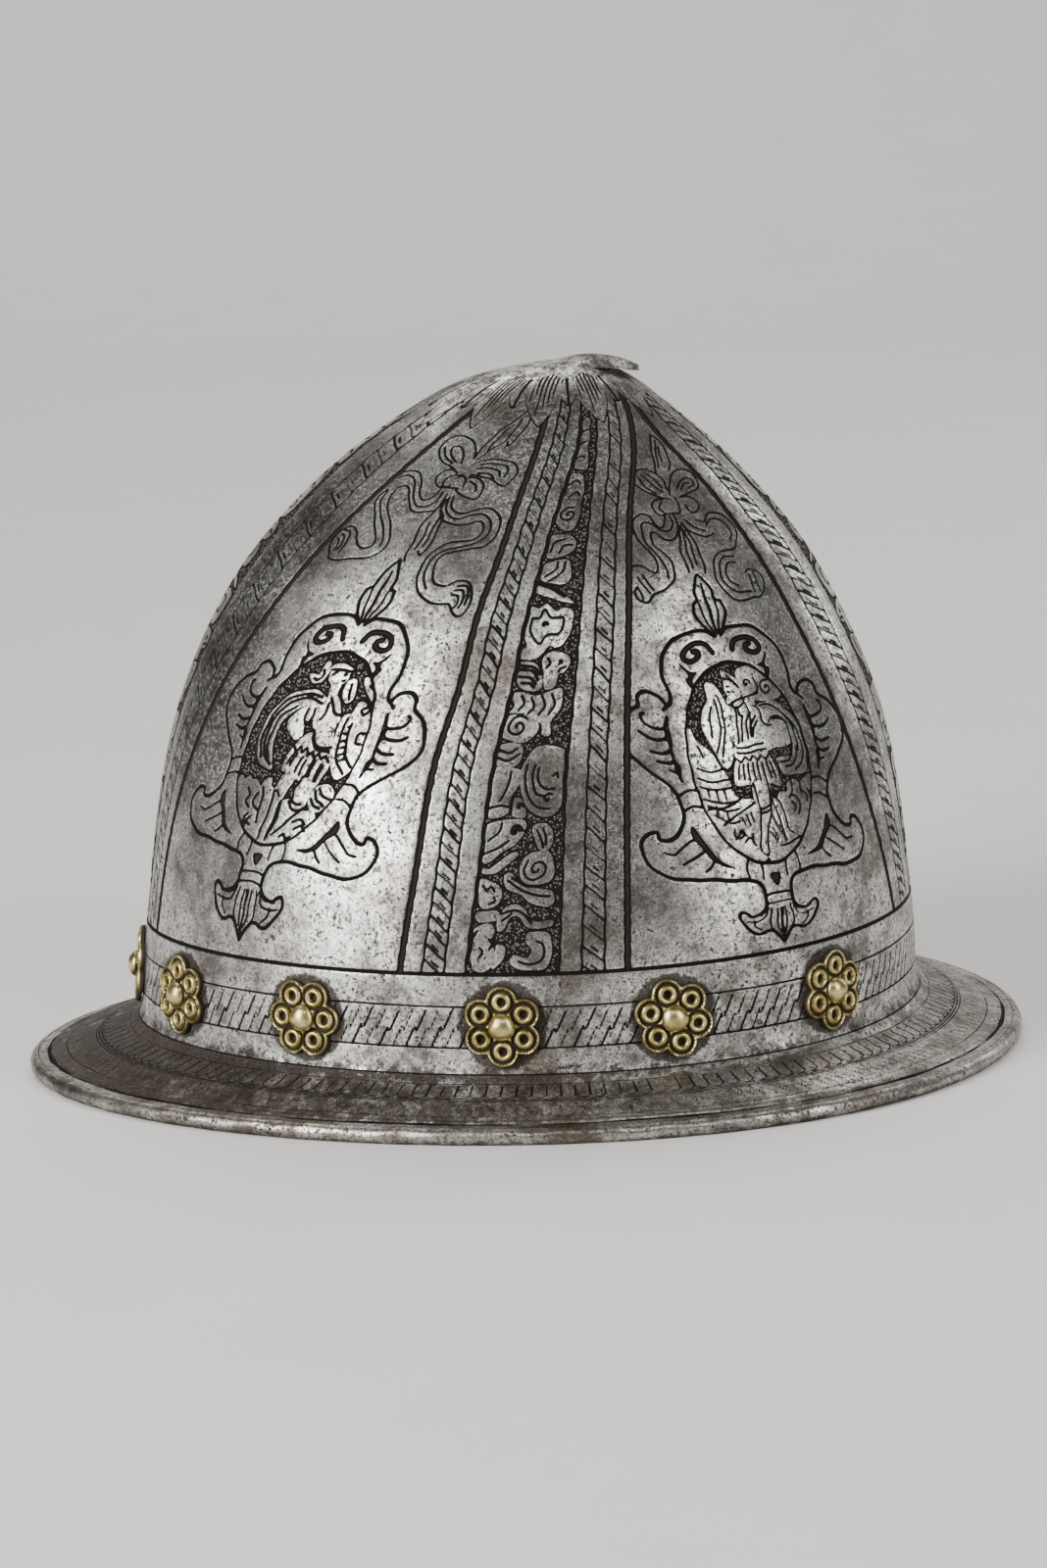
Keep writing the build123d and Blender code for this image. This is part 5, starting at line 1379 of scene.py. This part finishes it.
# Painted shade: the shank, the tail and the foot of each head take the brass's dark brown.
shade = np.tile(np.where(profile[:, 1] > head_low + 0.5, 0.0, 1.0), len(turns) * len(ALL_ANGLES))
rivets = put("lining_rivets_domed", np.concatenate(every), faces + caps, {"hollow_and_shade": shade})
dress(rivets, brass("cast_brass_rivets", "#DDCF96", "#A3925A"), "brass", "lining_rivets")

# The roves: brass washers, punched from sheet and dulled by hammering.
ROVE_MARK = 2.0
rove_brass, node, shader, place = surface("hammered_brass_roves")
marks = node("TexNoise", place, per(ROVE_MARK), 4, 0.55)
finish(shader, {
    "Base Color": node("Mix", marks, tone("#6E5426"), tone("#B08E48"), **COLOURS),
    "Metallic": 1.0,
    "Roughness": node("MapRange", marks, 0.3, 0.7, 0.3, 0.55, **SMOOTH)})
coat(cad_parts["rivet_roves"], rove_brass)

# The leather band inside the base: brown cowhide that the rivets hold and the lining is
# sewn to, cracked and darkened by sweat.
BAND_LOW, BAND_HIGH = 19.5, 45.0
LEATHER_COLUMNS, LEATHER_ROWS, LEATHER_SWELL = 400, 16, 0.1
STITCH_IN, STITCH_WIDE, STITCH_DEEP, STITCHES = 3.5, 0.7, 0.35, 170
HIDE_GRAIN, HIDE_CREASE, HIDE_WEAR = 1.2, 2.2, 22.0
rows = np.linspace(BAND_LOW, BAND_HIGH, LEATHER_ROWS)
# Lengths up the steel, to find the ones at the rows' heights.
climbed = np.linspace(0, 40, 200)
profile_up = np.interp(rows, spline(LENGTHS, ROWS, climbed + FOOT_AT)[:, 3], climbed)
turn = np.linspace(2 * pi, 0, LEATHER_COLUMNS, endpoint=False)[:, None]
sheet_face = skin(turn, profile_up)
normal = ring_facing(sheet_face)
ripple = 0.12 * np.sin(turn * 37 + rows * 0.3) + 0.1 * np.sin(turn * 13)
outer = sheet_face - normal * (WALL + BAND_GAP)
depth = WALL + BAND_GAP + BAND_THICKNESS + LEATHER_SWELL + ripple
inner = sheet_face - normal * depth[..., None]
stitch = STITCH_DEEP * np.exp(-((rows - BAND_HIGH + STITCH_IN) / STITCH_WIDE) ** 2)
inner = inner + normal * (stitch * (0.5 + 0.5 * np.cos(turn * STITCHES)))[..., None]
loop = np.concatenate([outer, inner[:, ::-1]], 1)
leather_band = put("leather_band", loop, [ring_faces(*loop.shape[:2])])
hide, node, shader, place = surface("tanned_cowhide")
grain = node("TexNoise", place, per(HIDE_GRAIN), 6, 0.65)
creases = node("TexVoronoi", place, per(HIDE_CREASE), feature="DISTANCE_TO_EDGE")
worn = node("TexNoise", place, per(HIDE_WEAR), 4, 0.55)
colour = node("Mix", node("MapRange", worn, 0.35, 0.65, **SMOOTH), tone("#4A2C18"),
              tone("#8A5A34"), **COLOURS)
height = node("Math", node("Math", grain, 0.2, **TIMES),
              node("MapRange", creases, 0.0, 0.2, **SMOOTH), **PLUS)
finish(shader, {
    "Base Color": node("Mix", node("MapRange", creases, 0.0, 0.12, 0.6, 0.0, **SMOOTH), colour,
                       tone("#24140B"), **COLOURS),
    "Roughness": node("MapRange", grain, 0.3, 0.7, 0.5, 0.72, **SMOOTH),
    "Normal": node("Bump", 0.5, 0.3 * MM, None, height)})
dress(leather_band, hide, "leather", "lining_band")

# The lining: a cap of two linens with tow between, quilted in upright rolls and gathered
# at the crown. It hangs from the leather band, to which its hem is sewn.
LINING_LOW, LINING_HIGH, LINING_THICKNESS, LINING_GAP = 38.0, 184.0, 7.0, 0.3
CHANNELS, CHANNEL_DEPTH = 18, 2.4
WRINKLE, GATHER_BELOW, FULL_RADIUS = 0.35, 30.0, 40.0
LINEN_FUZZ, LINEN_AGE = 0.9, 30.0
LINING_SHARES = np.array([
    (0.00, 1.000, 1.000), (0.05, 0.990, 0.989), (0.12, 0.978, 0.974), (0.30, 0.940, 0.925),
    (0.48, 0.870, 0.840), (0.64, 0.755, 0.715), (0.78, 0.605, 0.560), (0.89, 0.425, 0.385),
    (0.96, 0.255, 0.230), (0.99, 0.130, 0.115), (1.00, 0.040, 0.040)])
hem_share = (LINING_LOW - FOOT_HEIGHT) / (CROWN_HEIGHT - FOOT_HEIGHT)
hem = [np.interp(hem_share, RISE_SHARES[:, 0], RISE_SHARES[:, k]) for k in (1, 2, 3)]
hem_inset = WALL + BAND_GAP + BAND_THICKNESS + LINING_GAP
hem_length, hem_width = FOOT_LENGTH / 2 * hem[0] - hem_inset, FOOT_WIDTH / 2 * hem[1] - hem_inset
hem_lean, top_lean = CROWN_LEAN * hem[2], CROWN_LEAN * RISE_SHARES[5, 3]


def lining_face(rows, inset):
    """Outlines of the cap at an inset from its outside, read at shares of its height."""
    share = np.hypot(np.diff(LINING_SHARES[:, 0]), np.diff(LINING_SHARES[:, 1]))
    knots = np.concatenate([[0], np.cumsum(share)]) / share.sum()
    height, length, width = spline(knots, LINING_SHARES, rows).T
    return np.column_stack([(hem_length - inset) * length, (hem_width - inset) * width,
                            hem_lean + (top_lean - hem_lean) * height,
                            LINING_LOW + (LINING_HIGH - LINING_LOW - inset) * height])


CAP_COLUMNS, CAP_ROWS = 396, 56
rows = np.linspace(0, 1, CAP_ROWS)
turn = np.linspace(2 * pi, 0, CAP_COLUMNS, endpoint=False)[:, None]
outer = outline(lining_face(rows, 0.0)[None], turn)
inner_rows = lining_face(rows, LINING_THICKNESS - CHANNEL_DEPTH)
inner = outline(inner_rows[None], turn)
roll = np.abs(np.sin(CHANNELS * turn / 2)) ** 0.7
wrinkle = WRINKLE * np.sin(rows * 60 + 3 * np.sin(turn * 5)) * np.sin(CHANNELS * turn / 2) ** 2
press = (CHANNEL_DEPTH * roll + wrinkle * 0.6) * ease(rows, -0.01, 0.04)
centre = np.stack([inner_rows[:, 2], 0 * rows, inner_rows[:, 3] - GATHER_BELOW], -1)
inward = centre - inner
inward = inward / np.linalg.norm(inward, axis=-1, keepdims=True)
inner = inner + inward * (press * np.clip(inner_rows[:, 0] / FULL_RADIUS, 0.2, 1))[..., None]
loop = np.concatenate([inner[:, ::-1], outer], 1)
cap = put("quilted_cap", loop, [ring_faces(CAP_COLUMNS, loop.shape[1], False),
                                *end_faces(CAP_COLUMNS, loop.shape[1])], crease=80)
# Threads are about half a millimetre apart, drawn at one so that they show. A wave
# texture's scale counts twentieths of its bands.
THREAD_DRAWN, WAVE_UNIT = 1.0, 20
linen, node, shader, place = surface("unbleached_linen")
threads = node("TexNoise", place, per(LINEN_FUZZ), 3, 0.7)
age = node("TexNoise", place, per(LINEN_AGE), 5, 0.6)
warp, weft = (node("TexWave", place, per(THREAD_DRAWN) / WAVE_UNIT, 1.5, 2.0, out="Fac",
                   bands_direction=way) for way in ("Z", "DIAGONAL"))
colour = node("Mix", node("MapRange", age, 0.35, 0.65, **SMOOTH), tone("#8E7A5C"),
              tone("#C9B894"), **COLOURS)
weave = node("Math", node("Math", warp, weft, **TIMES), 0.5, **TIMES)
finish(shader, {
    "Base Color": node("Mix", node("MapRange", threads, 0.5, 0.8, 0.0, 0.35, **SMOOTH), colour,
                       tone("#6A5538"), **COLOURS),
    "Roughness": 0.9, "Sheen Weight": 0.25,
    "Normal": node("Bump", 0.6, 0.25 * MM, None, node("Math", weave, threads, **PLUS))})
dress(cap, linen, "linen", "lining")

# The floor and the light: a roll of pale paper that sweeps up behind, soft lamps at both
# sides, above, behind and in front, and a dim room, so that the steel shows bright and dark
# reflections.
PAPER_WIDE, PAPER_NEAR, PAPER_FAR, PAPER_BEND, PAPER_TALL = 3.0, -1.2, 1.6, 1.0, 2.0
PAPER_MOTTLE, PAPER_ROWS = 40.0, 40
paper, node, shader, place = surface("pale_paper")
fibres = node("TexNoise", place, per(PAPER_MOTTLE), 4, 0.55)
finish(shader, {
    "Base Color": node("Mix", fibres, tone("#D9D7D3"), tone("#DEDCD9"), **COLOURS),
    "Roughness": 0.9})
sweep = np.linspace(0, pi / 2, PAPER_ROWS)
side_on = np.concatenate([[(PAPER_NEAR, 0)], np.column_stack([
    PAPER_FAR + PAPER_BEND * np.sin(sweep), PAPER_BEND - PAPER_BEND * np.cos(sweep)]),
    [(PAPER_FAR + PAPER_BEND, PAPER_TALL)]]) / MM
across = np.array([-0.5, 0.5])[:, None] * PAPER_WIDE / MM
sheet = np.stack(np.broadcast_arrays(across, side_on[None, :, 0], side_on[None, :, 1]), -1)
index = np.arange(sheet[..., 0].size).reshape(sheet.shape[:2])
floor = put("floor", sheet, [np.stack([index[0, :-1], index[1, :-1], index[1, 1:],
                                       index[0, 1:]], -1)])
floor.data.materials.append(paper)


# Each lamp's spot, the spot it faces, its width and height in metres, and its watts.
LAMPS = {
    "lamp_left": ((-1.25, -0.95, 0.75), (0, 0, 0.1), 0.8, 1.2, 44),
    "lamp_right": ((1.2, -0.95, 0.75), (0, 0, 0.1), 0.4, 1.2, 17),
    "lamp_above": ((0.0, 1.5, 2.6), (0, 0.7, 0), 2.6, 1.6, 58),
    "lamp_behind": ((1.2, 0.95, 0.6), (0, 0, 0.12), 0.22, 1.0, 5),
    "lamp_front": ((0.0, -2.6, 2.6), (0, 0.3, 0), 1.2, 0.5, 16),
}
ROOM_STRENGTH = 0.12
for name, (spot, aim, wide, tall, power) in LAMPS.items():
    light = bpy.data.lights.new(name, "AREA")
    light.shape, light.size, light.size_y, light.energy = "RECTANGLE", wide, tall, power
    body = bpy.data.objects.new(name, light)
    bpy.context.scene.collection.objects.link(body)
    body.matrix_world = Matrix.Translation(spot) @ (
        Vector(aim) - Vector(spot)).to_track_quat("-Z", "Y").to_matrix().to_4x4()
room = bpy.data.worlds.new("room")
room.use_nodes = True
background = room.node_tree.nodes["Background"]
finish(background, {"Color": tone("#A8AAAE"), "Strength": ROOM_STRENGTH})
bpy.context.scene.world = room

# The camera stands a little above the helmet and 1.8 m from it, at its left side. Its
# measures were fitted to the photograph: the focal length and the middle are in pixels.
CAMERA_FALL, CAMERA_ROLL = radians(14.378), radians(-2.563)
DISTANCE, FOCAL, MIDDLE_X, MIDDLE_Y = 1.784051, 5904.139, 541.452, 1056.146
PHOTO_WIDE, PHOTO_TALL = 1068, 1600
AIM, SENSOR = Vector((0.0016, 0, 0.00235)), 36.0
forward = Vector((0, cos(CAMERA_FALL), -sin(CAMERA_FALL)))
right, lift = Vector((1, 0, 0)), Vector((1, 0, 0)).cross(forward)
frame_right = cos(CAMERA_ROLL) * right + sin(CAMERA_ROLL) * lift
frame_up = -sin(CAMERA_ROLL) * right + cos(CAMERA_ROLL) * lift
spot = AIM - forward * DISTANCE
look = (forward + frame_right * (PHOTO_WIDE / 2 - MIDDLE_X) / FOCAL
        + frame_up * (MIDDLE_Y - PHOTO_TALL / 2) / FOCAL).normalized()
sideways = look.cross(frame_up).normalized()
upwards = sideways.cross(look)
lens = bpy.data.cameras.new("camera")
lens.sensor_width = SENSOR
lens.lens = FOCAL * SENSOR / PHOTO_TALL
camera = bpy.data.objects.new("camera", lens)
bpy.context.scene.collection.objects.link(camera)
camera.matrix_world = Matrix.Translation(spot) @ Matrix(
    (sideways, upwards, -look)).transposed().to_4x4()
bpy.context.scene.camera = camera
